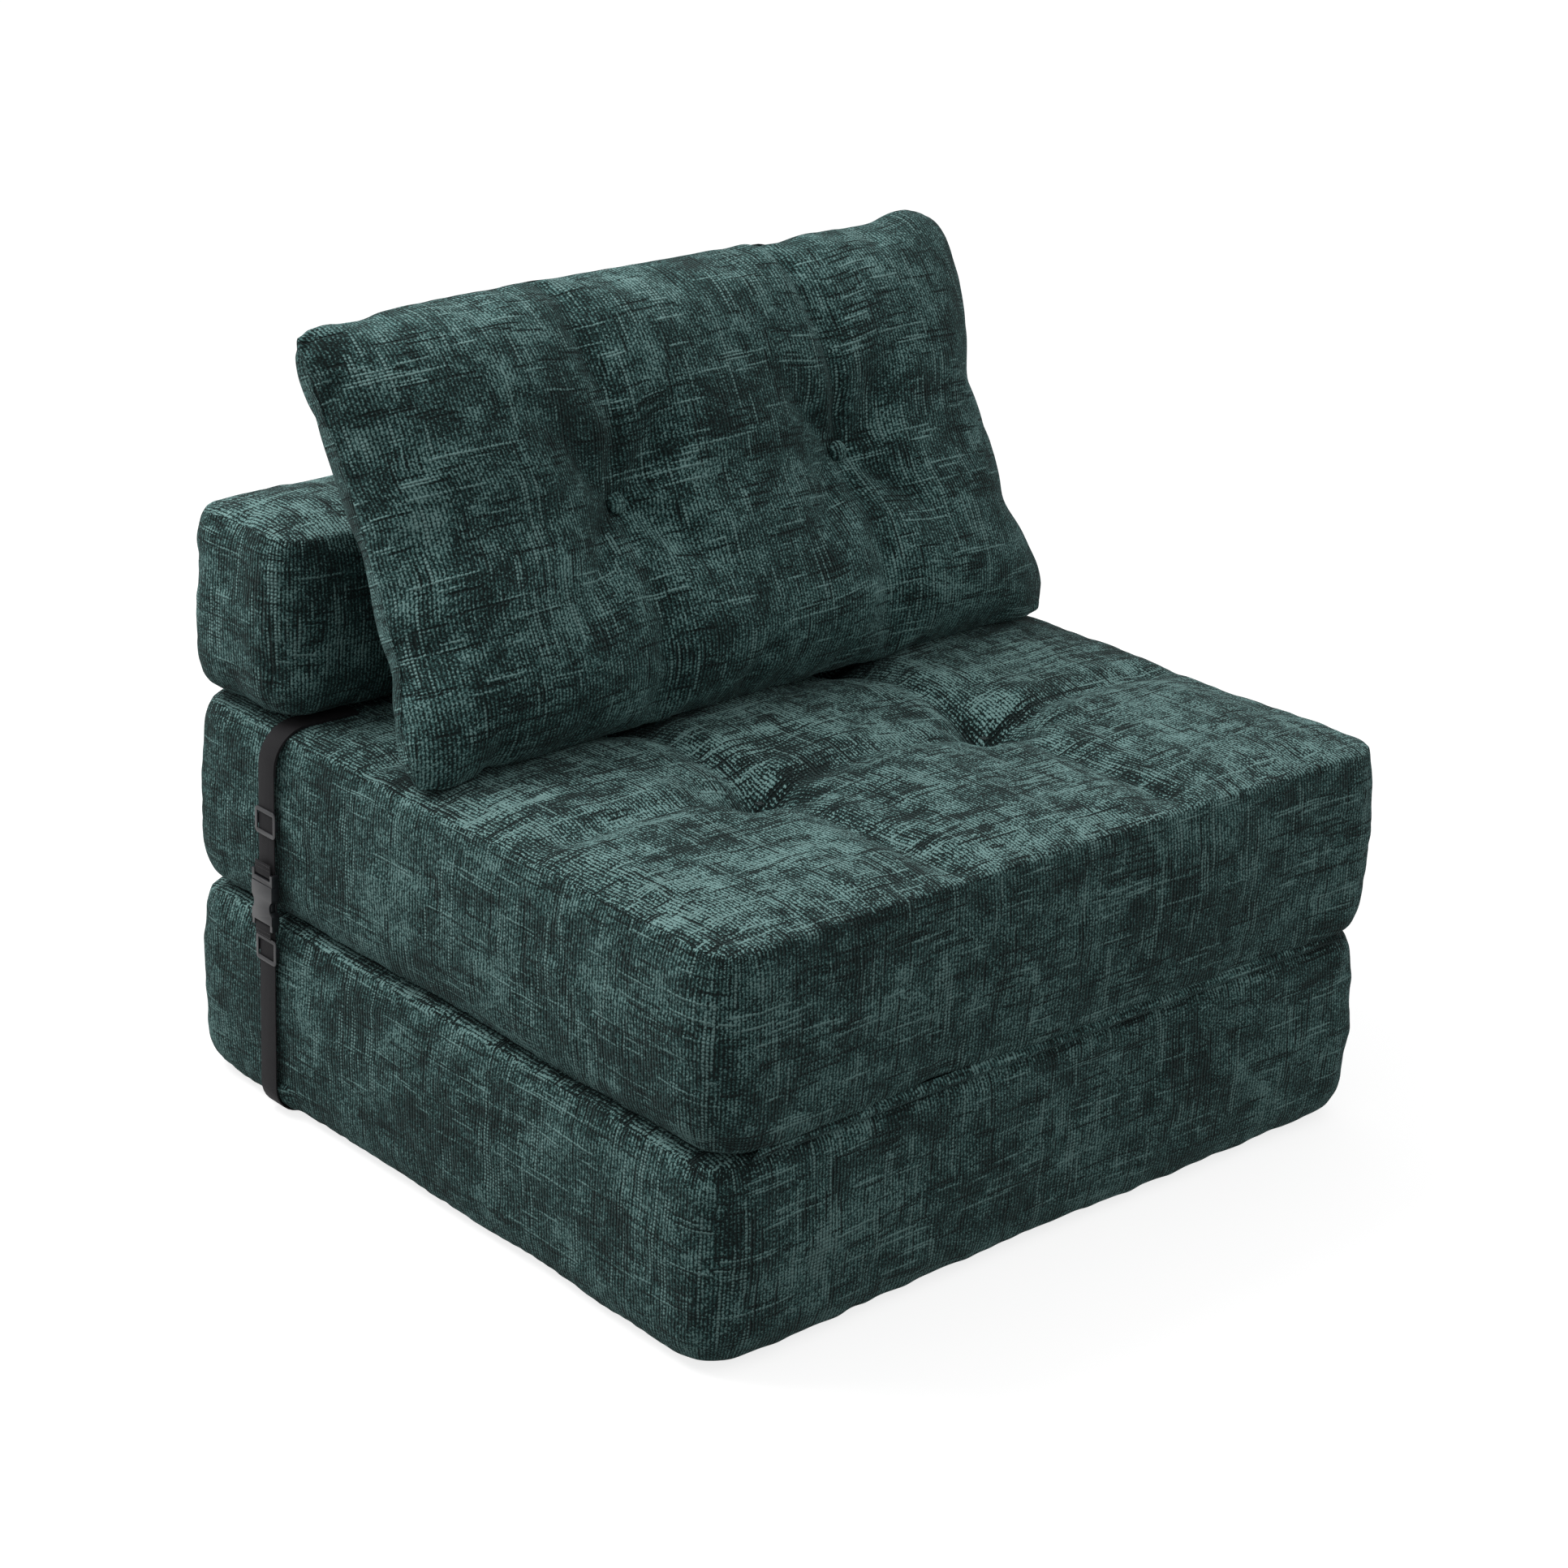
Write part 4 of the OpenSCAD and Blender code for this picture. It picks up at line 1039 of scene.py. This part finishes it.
pillow_points, pillow_cloth, pillow_faces = pillow_mesh(113, 61)
pillow = new_piece("pillow_chenille_cover", pillow_points, pillow_faces, chenille)
flat_place = pillow.data.attributes.new("flat_place", "FLOAT_VECTOR", "POINT")
flat_place.data.foreach_set("vector", pillow_cloth.astype(np.float32).ravel())
own = points_of(pillow)
button_spots = np.array([[BUTTON_SHIFT + s * BUTTON_X, PILLOW_H / 2] for s in (-1, 1)])
to_button = distance_to_buttons(own)
hold = np.where(to_button < 14 * MM, 1.0, np.where(np.abs(own[:, 1]) < 1e-6, 0.95, 0.0))
swell(pillow, 4.0, 8 * MM, 0.02, 5 * MM, hold)
divide(pillow)
own = points_of(pillow)
print("pillow points:", len(own))

# %% Folds, place and weave of the pillow


def fold_pillow(own):
    """Adds folds from the buttons, soft waves beside the seam and room for each button's rim."""
    made = own.copy()
    side = np.sign(own[:, 1])
    for number, (bx, bz) in enumerate(button_spots):
        dx, dz = own[:, 0] - bx, own[:, 2] - bz
        far = np.hypot(dx, dz)
        turn = np.arctan2(dz, dx)
        rays = np.cos(6 * turn + number) + 0.7 * np.cos(4 * turn + 2 * number + 1)
        made[:, 1] += side * 2.4 * MM * rays * np.exp(-((far - 0.040) / 0.022) ** 2)
        above = np.clip((dz - 0.008) / 0.03, 0, 1)
        below = np.clip((-dz - 0.008) / 0.03, 0, 1) * np.exp(-(dz / 0.11) ** 2)
        line = dx - 5 * MM * np.sin(dz * 21 + number)
        groove = np.exp(-(line / 0.010) ** 2) * (above * FOLD_ABOVE[number] + below * 3.5 * MM)
        ridge = np.exp(-((line + 0.024) / 0.015) ** 2) * above * FOLD_ABOVE[number] * 0.6
        made[:, 1] += side * (ridge - groove)
    soft = np.minimum(distance_to_buttons(own) / 0.06, 1)
    made[:, 1] += side * soft * noise_at(own, 0.19, 5) * 1.8 * MM
    made[:, 1] += side * soft * noise_at(own, 0.06, 6) * 0.5 * MM
    for bx, bz in button_spots:
        far = np.hypot(own[:, 0] - bx, own[:, 2] - bz)
        room = BUTTON_WAIST / 2 - 1 * MM + np.maximum(far - 13 * MM, 0) * 0.85
        near = far < 40 * MM
        made[:, 1] = np.where(near, side * np.minimum(np.abs(made[:, 1]), room), made[:, 1])
    return made


def rest_pillow(points):
    """Keeps the pillow above the seat and before the bolster."""
    out = points.copy()
    out[:, 2] = np.maximum(out[:, 2], pillow_rest_z)
    wall = bolster_front(out[:, 2]) - 0.5 * MM
    low = out[:, 2] < bolster_high.z
    out[:, 1] = np.where(low, np.minimum(out[:, 1], wall), out[:, 1])
    return out


def wrap_pillow(piece, own):
    """Both panels read the place on the flat cloth that was worked out with the grid."""
    mesh = piece.data
    loops = corners_of(piece)
    totals = np.empty(len(mesh.polygons), dtype=np.int64)
    mesh.polygons.foreach_get("loop_total", totals)
    flat = np.empty(len(mesh.vertices) * 3, dtype=np.float32)
    mesh.attributes["flat_place"].data.foreach_get("vector", flat)
    spots = flat.reshape(-1, 3)[loops]
    starts = np.concatenate([[0], np.cumsum(totals)[:-1]])
    depth = np.add.reduceat(own[loops][:, 1], starts) / totals
    back = np.repeat(depth > 0, totals)
    sign = np.where(back, -1.0, 1.0)
    panel = np.where(back, 10.4, 10.0)
    write_weave(piece, np.stack([spots[:, 0] * sign, spots[:, 1], panel], axis=1))


folded = fold_pillow(own)
wrap_pillow(pillow, own)
move_to(pillow, rest_pillow(stand_pillow(folded)))
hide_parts("pillow_cover")
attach(pillow, "pillow")
print("pillow triangles:", 2 * len(pillow.data.polygons))

# %% [markdown]
# Each button is a metal shell with a disc of the same chenille stretched over it. It is made
# as a turned profile: a dome, a rolled edge and a short neck that sinks into the pillow.

# %% The covered buttons
BUTTON_R = 10.5 * MM
BUTTON_H = 7 * MM
BUTTON_RAISED = 1.5 * MM


def turned(profile, steps, start=0):
    """Points and faces of a closed profile turned round its axis, as (radius, height) pairs."""
    points = [(0.0, 0.0, profile[0][1])]
    for r, h in profile[1:-1]:
        for k in range(steps):
            angle = 2 * math.pi * k / steps
            points.append((r * math.cos(angle), r * math.sin(angle), h))
    points.append((0.0, 0.0, profile[-1][1]))
    rings = len(profile) - 2
    last = len(points) - 1
    faces = [(0, 1 + k, 1 + (k + 1) % steps) for k in range(steps)]
    for ring in range(rings - 1):
        for k in range(steps):
            a, b = 1 + ring * steps + k, 1 + ring * steps + (k + 1) % steps
            faces.append((a, a + steps, b + steps, b))
    faces += [(last, 1 + (rings - 1) * steps + (k + 1) % steps, 1 + (rings - 1) * steps + k)
              for k in range(steps)]
    return points, [tuple(start + i for i in face) for face in faces]


def button_profile():
    dome = [(BUTTON_R * math.sin(a), 1.5 * MM + (BUTTON_H - 1.5 * MM) * math.cos(a))
            for a in np.linspace(0, math.pi / 2, 9)]
    rolled = [(BUTTON_R - 0.4 * MM, 0.7 * MM), (BUTTON_R - 1.6 * MM, 0.1 * MM)]
    neck = [(5 * MM, -0.3 * MM), (4 * MM, -2 * MM), (0, -2 * MM)]
    return dome + rolled + neck


def make_buttons(name, node, way):
    """Two buttons on one face of the pillow. way is -1 for the front and 1 for the back."""
    points, faces, weave_spots = [], [], []
    tip = Matrix.Rotation(-way * math.pi / 2, 3, "X")
    for s in (-1, 1):
        spots, made = turned(button_profile(), 32, len(points))
        out = way * (BUTTON_WAIST / 2 + BUTTON_RAISED)
        middle = Vector((BUTTON_SHIFT + s * BUTTON_X, out, PILLOW_H / 2))
        for spot in spots:
            own_place = middle + tip @ Vector(spot)
            points.append(pillow_turn @ own_place + pillow_place)
            weave_spots.append((spot[0] + s * 0.4, spot[1] + way * 0.2, 12.0 + s))
        faces += made
    buttons = new_piece(name, points, faces, chenille)
    bm = bmesh.new()
    bm.from_mesh(buttons.data)
    bmesh.ops.recalc_face_normals(bm, faces=bm.faces)
    bm.to_mesh(buttons.data)
    bm.free()
    loops = corners_of(buttons)
    write_weave(buttons, np.array(weave_spots)[loops])
    write_stretch_and_tuft_shade(buttons, np.ones(len(loops)))
    modify(buttons, "SUBSURF", levels=1, render_levels=1)
    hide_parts(node)
    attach(buttons, "pillow")


make_buttons("pillow_front_covered_buttons", "pillow_front_buttons", -1)
make_buttons("pillow_back_covered_buttons", "pillow_back_buttons", 1)
print("buttons at", [round(x, 3) for x in button_middle])

# %% [markdown]
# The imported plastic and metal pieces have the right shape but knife-sharp edges. Moulded parts
# never do. Each gets a copy with its points merged and its edges rounded by a Bevel modifier.

# %% Rounded copies of the hard pieces


def rounded_copy(node, name, material, width, segments=2, angle=30):
    """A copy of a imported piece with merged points, whole faces and rounded edges."""
    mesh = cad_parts[node].data.copy()
    bm = bmesh.new()
    bm.from_mesh(mesh)
    bmesh.ops.remove_doubles(bm, verts=bm.verts, dist=0.01 * MM)
    bmesh.ops.dissolve_limit(bm, angle_limit=math.radians(1), verts=bm.verts, edges=bm.edges)
    bmesh.ops.recalc_face_normals(bm, faces=bm.faces)
    bm.to_mesh(mesh)
    bm.free()
    mesh.name = name
    mesh.materials.clear()
    mesh.materials.append(material)
    piece = bpy.data.objects.new(name, mesh)
    bpy.context.scene.collection.objects.link(piece)
    modify(piece, "BEVEL", width=width, segments=segments, limit_method="ANGLE",
           angle_limit=math.radians(angle), harden_normals=False)
    settle(piece)
    return piece


def join_in(piece, other):
    """Adds the other piece's mesh to this one."""
    bm = bmesh.new()
    bm.from_mesh(piece.data)
    bm.from_mesh(other.data)
    bm.to_mesh(piece.data)
    bm.free()
    bpy.data.objects.remove(other)


HARD = []
for side in ("left", "right"):
    for level in ("upper", "lower"):
        node = f"{side}_{level}_adjuster"
        HARD.append((node, f"{node}_frame", plastic, 0.7 * MM, node, "plastic"))
    node = f"{side}_buckle_socket"
    HARD.append((node, f"{node}_shell", plastic, 0.8 * MM, "base", "plastic"))
    node = f"{side}_buckle_plug"
    HARD.append((node, f"{node}_body", plastic, 0.6 * MM, "seat", "plastic"))
    for way in ("front", "rear"):
        node = f"{side}_plug_{way}_arm"
        HARD.append((node, f"{node}_latch", plastic, 0.6 * MM, node, "plastic"))
for place in ("base", "seat", "bolster", "pillow"):
    node = f"{place}_zip_slider"
    HARD.append((node, f"{node}_pull", enamel, 0.35 * MM, node, "zip_metal"))
for node, name, material, width, body, slot in HARD:
    piece = rounded_copy(node, name, material, width)
    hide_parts(node)
    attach(piece, body)
print("hard pieces:", len(HARD))

# %% [markdown]
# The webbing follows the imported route. It is a soft piece, so it gets its own mesh with
# soft edges. Where a strap goes round a bar and comes back, it is sewn to itself.

# %% The straps
STRAPS = []
for side in ("left", "right"):
    for level, body in (("upper", "seat"), ("lower", "base")):
        node = f"{side}_{level}_strap"
        strap = rounded_copy(node, f"{node}_webbing", webbing, 0.3 * MM, segments=2, angle=50)
        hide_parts(node)
        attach(strap, body)
        STRAPS.append(strap)
print("straps:", [strap.name for strap in STRAPS])

# %% [markdown]
# Stitches and zip teeth repeat along a line, so Geometry Nodes make them. The tree
# below sets out points on a line, puts one small rod on each point and turns it. Its
# inputs are the two ends, the pitch, and the rod's length and radius. The result is turned
# into a plain mesh for each body, because an export drops instances.

# %% A tree for rods on a line


def rod_tree(material):
    """Rods set along a line: stitches, teeth or ribs."""
    tree = bpy.data.node_groups.new("rods on a line", "GeometryNodeTree")
    face = tree.interface
    face.new_socket("Geometry", in_out="OUTPUT", socket_type="NodeSocketGeometry")
    for name, kind in (("Start", "Vector"), ("End", "Vector"), ("Turn", "Vector"),
                       ("Pitch", "Float"), ("Length", "Float"), ("Radius", "Float")):
        face.new_socket(name, in_out="INPUT", socket_type=f"NodeSocket{kind}")
    maker = Maker(tree)
    given = tree.nodes.new("NodeGroupInput")
    names = {socket.name: Sum(maker, socket) for socket in given.outputs if socket.name}
    line = maker.add("GeometryNodeCurvePrimitiveLine", None, {
        "Start": names["Start"], "End": names["End"]})
    spots = maker.add("GeometryNodeCurveToPoints", {"mode": "LENGTH"}, {
        "Curve": line, "Length": names["Pitch"]})
    rod = maker.add("GeometryNodeMeshCylinder", None, {
        "Vertices": 6, "Side Segments": 1, "Radius": names["Radius"], "Depth": names["Length"]})
    placed = maker.add("GeometryNodeInstanceOnPoints", None, {
        "Points": spots, "Instance": rod, "Rotation": names["Turn"]})
    real = maker.add("GeometryNodeRealizeInstances", None, {0: placed})
    done = maker.add("GeometryNodeSetMaterial", None, {"Geometry": real, "Material": material})
    out = tree.nodes.new("NodeGroupOutput")
    tree.links.new(done.socket, out.inputs[0])
    return tree


def rods(tree, start, end, turn, pitch, length, radius):
    """The mesh of one row of rods."""
    holder = bpy.data.objects.new("row", bpy.data.meshes.new("row"))
    bpy.context.scene.collection.objects.link(holder)
    row = holder.modifiers.new("rods", "NODES")
    row.node_group = tree
    values = {
        "Start": start, "End": end, "Turn": turn,
        "Pitch": pitch, "Length": length, "Radius": radius}
    for item in tree.interface.items_tree:
        if item.in_out == "INPUT":
            row[item.identifier] = values[item.name]
    settle(holder)
    return holder


def gather(name, rows, material, body):
    """Joins rows of rods into one piece that rides on a body."""
    piece = rows[0]
    piece.name = name
    for other in rows[1:]:
        join_in(piece, other)
    piece.data.name = name
    piece.data.materials.clear()
    piece.data.materials.append(material)
    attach(piece, body)
    return piece


STITCHES = rod_tree(black_thread)
TEETH = rod_tree(zip_tape)
ALONG_Y = (math.pi / 2, 0.0, 0.0)
ALONG_X = (0.0, math.pi / 2, 0.0)
print("trees:", len(bpy.data.node_groups))

# %% [markdown]
# Two rows of stitches cross each strap's end, just past the bar that it goes round. A slider zip's
# coil shows as two rows of small slanted teeth on a woven tape.

# %% Stitches on the straps
STITCH_PITCH = 2.6 * MM
STITCH_L = 2.0 * MM


def strap_stitches(side, level, body):
    node = f"{side}_{level}_strap"
    low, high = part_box(node)
    sign = -1 if side == "left" else 1
    face_x = (low.x if side == "left" else high.x) + sign * 0.05 * MM
    if level == "upper":
        bar_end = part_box(f"{side}_buckle_plug")[1].z
    else:
        bar_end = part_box(f"{side}_buckle_socket")[0].z
    away = 1 if level == "upper" else -1
    rows = []
    for number in range(2):
        z = bar_end + away * (3.5 + 4 * number) * MM
        rows.append(rods(STITCHES, (face_x, low.y + 2 * MM, z), (face_x, high.y - 2 * MM, z),
                         ALONG_Y, STITCH_PITCH, STITCH_L, 0.3 * MM))
    gather(f"{side}_{level}_strap_stitches", rows, black_thread, body)


for side in ("left", "right"):
    strap_stitches(side, "upper", "seat")
    strap_stitches(side, "lower", "base")

# %% The zips
TOOTH_PITCH = 1.9 * MM
TAPE_W = 18 * MM
TAPE_STEPS = 60
TAPE_SUNK = 0.45 * MM
TAPE_PROFILE = ((-0.5, -0.35), (-0.48, 0.0), (-0.12, 0.2), (0.12, 0.2), (0.48, 0.0), (0.5, -0.35))
TOOTH_L = 2.6 * MM
TOOTH_R = 0.62 * MM
TOOTH_SLANT = 24
PILLOW_ZIP_L = 400 * MM
PILLOW_ZIP_SLOPE = 11.3


def zip_frame(node):
    """Middle, direction along the zip, direction out of the cloth and length."""
    low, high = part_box(node)
    middle = (low + high) / 2
    if node != "pillow_zip":
        return middle, Vector((1, 0, 0)), Vector((0, 1, 0)), high.x - low.x
    along = pillow_turn @ Vector((1, 0, 0))
    slope = pillow_turn @ Matrix.Rotation(-math.radians(PILLOW_ZIP_SLOPE), 3, "X")
    return middle, along, slope @ Vector((0, 1, 0)), PILLOW_ZIP_L


def make_zip(place):
    node = f"{place}_zip"
    middle, along, out, length = zip_frame(node)
    up = along.cross(out) * -1
    rows = []
    half = along * (length / 2 - 4 * MM)
    for way in (-1, 1):
        line = middle + up * way * 1.1 * MM
        slant = Matrix.Rotation(math.radians(way * TOOTH_SLANT), 3, "Y")
        turn = Matrix((along, out, up)).transposed() @ slant
        rows.append(rods(
            TEETH, line - half, line + half, turn.to_euler(), TOOTH_PITCH, TOOTH_L, TOOTH_R))
    spots, faces = [], []
    across = len(TAPE_PROFILE)
    for k in range(TAPE_STEPS + 1):
        s = (k / TAPE_STEPS - 0.5) * length
        for off, lift in TAPE_PROFILE:
            spots.append(middle + along * s + up * off * TAPE_W + out * (lift * MM - TAPE_SUNK))
    for k in range(TAPE_STEPS):
        for j in range(across - 1):
            a = k * across + j
            faces.append((a, a + across, a + across + 1, a + 1))
    tape = new_piece("tape", spots, faces, zip_tape)
    rows.append(tape)
    piece = gather(f"{place}_coil_zip", rows, zip_tape, place)
    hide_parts(node)
    return piece


for place in ("base", "seat", "bolster", "pillow"):
    made = make_zip(place)
    print(made.name, "triangles:", sum(len(p.vertices) - 2 for p in made.data.polygons))

# %% [markdown]
# In the groove at each fabric hinge a strip of the cover's own cloth joins the two blocks. Its
# middle stays close to the line on which the blocks turn, so that it only makes a low fold when
# they lie open. Its edges run into the covers, and its ends taper. It is one grid.

# %% The hinge strips
STRIP_STEPS = 90
STRIP_HALF = 7 * MM
STRIP_FOLD = 4 * MM
STRIP_SUNK = 6 * MM
STRIP_TAPER = 30 * MM
STRIP_END = 0.12
STRIP_CURVE = 1.6


def make_strip(name, node, y_face, way, low_z, high_z, panel):
    """A strip from the lower block to the upper one. way is -1 at the front and 1 at the back."""
    low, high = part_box(node)
    middle_z = (low_z + high_z) / 2
    points, faces, weave = [], [], []
    profile = np.linspace(-1, 1, 13)
    length = high.x - low.x
    for k in range(STRIP_STEPS + 1):
        x = low.x + length * k / STRIP_STEPS
        to_end = length / 2 - abs(x - (low.x + high.x) / 2)
        full = max(STRIP_END, min(1.0, max(to_end, 0) / STRIP_TAPER) ** 0.5)
        for t in profile:
            depth = full * (STRIP_FOLD + STRIP_SUNK * abs(t) ** STRIP_CURVE)
            points.append((x, y_face - way * depth, middle_z + t * STRIP_HALF * full))
            weave.append((x, t * STRIP_HALF + 0.17, panel))
    rows = len(profile)
    for k in range(STRIP_STEPS):
        for j in range(rows - 1):
            a = k * rows + j
            face = (a, a + rows, a + rows + 1, a + 1)
            faces.append(face if way < 0 else face[::-1])
    strip = new_piece(name, points, faces, chenille)
    write_weave(strip, np.array(weave)[corners_of(strip)])
    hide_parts(node)
    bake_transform(strip)


make_strip("front_fabric_hinge", "front_hinge_strip", base_low.y + 3 * MM, -1,
           base_high.z, seat_low.z, 1.0)
make_strip("rear_fabric_hinge", "rear_hinge_strip", base_high.y, 1,
           seat_flat_z, bolster_low.z, 4.0)

# %% [markdown]
# At the bottom of each tuft two short stitches of waxed thread cross. The foam and the filling
# are inside. Their copies stand back a little, so that no cover lets them through where it
# dips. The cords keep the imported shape.

# %% Tuft stitches and the hidden pieces


def make_tuft_stitches():
    low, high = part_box("seat_tuft_stitches")
    rows = []
    z = high.z - 0.6 * MM
    for sx in (-1, 1):
        for sy in (-1, 1):
            x = sx * (high.x - 5 * MM)
            y = (low.y + high.y) / 2 + sy * ((high.y - low.y) / 2 - 5 * MM)
            for turn, dx, dy in ((ALONG_X, 0, 1.6 * MM), (ALONG_Y, 1.6 * MM, 0)):
                for way in (-1, 1):
                    spot = (x + way * dx, y + way * dy, z)
                    far = (spot[0] + 0.1 * MM, spot[1], z)
                    rows.append(rods(STITCHES, spot, far, turn, 1 * MM, 8 * MM, 0.7 * MM))
    piece = gather("seat_tuft_crossed_threads", rows, thread, "seat")
    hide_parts("seat_tuft_stitches")


make_tuft_stitches()
HIDDEN = (
    ("base_foam", "base_foam_block", foam, "foam", "base", 7 * MM),
    ("seat_foam", "seat_foam_block", foam, "foam", "seat", 7 * MM),
    ("bolster_foam", "bolster_foam_block", foam, "foam", "bolster", 7 * MM),
    ("pillow_filling", "pillow_fibre_filling", filling, "filling", "pillow", 10 * MM),
)
for node, name, material, slot, body, inset in HIDDEN:
    inner = outer_skin(node, name, material)
    remesh(inner, 14 * MM, 4)
    inner_points = points_of(inner) - normals_of(inner) * inset
    if node == "seat_foam":
        inner_points[:, 2] += np.minimum(seat_relief(inner_points + FULL_RELIEF), 0)
    move_to(inner, inner_points)
    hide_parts(node)
    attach(inner, body)
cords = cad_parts["pillow_tuft_cords"].data
cords.materials.clear()
cords.materials.append(thread)
print("hidden pieces:", len(HIDDEN))
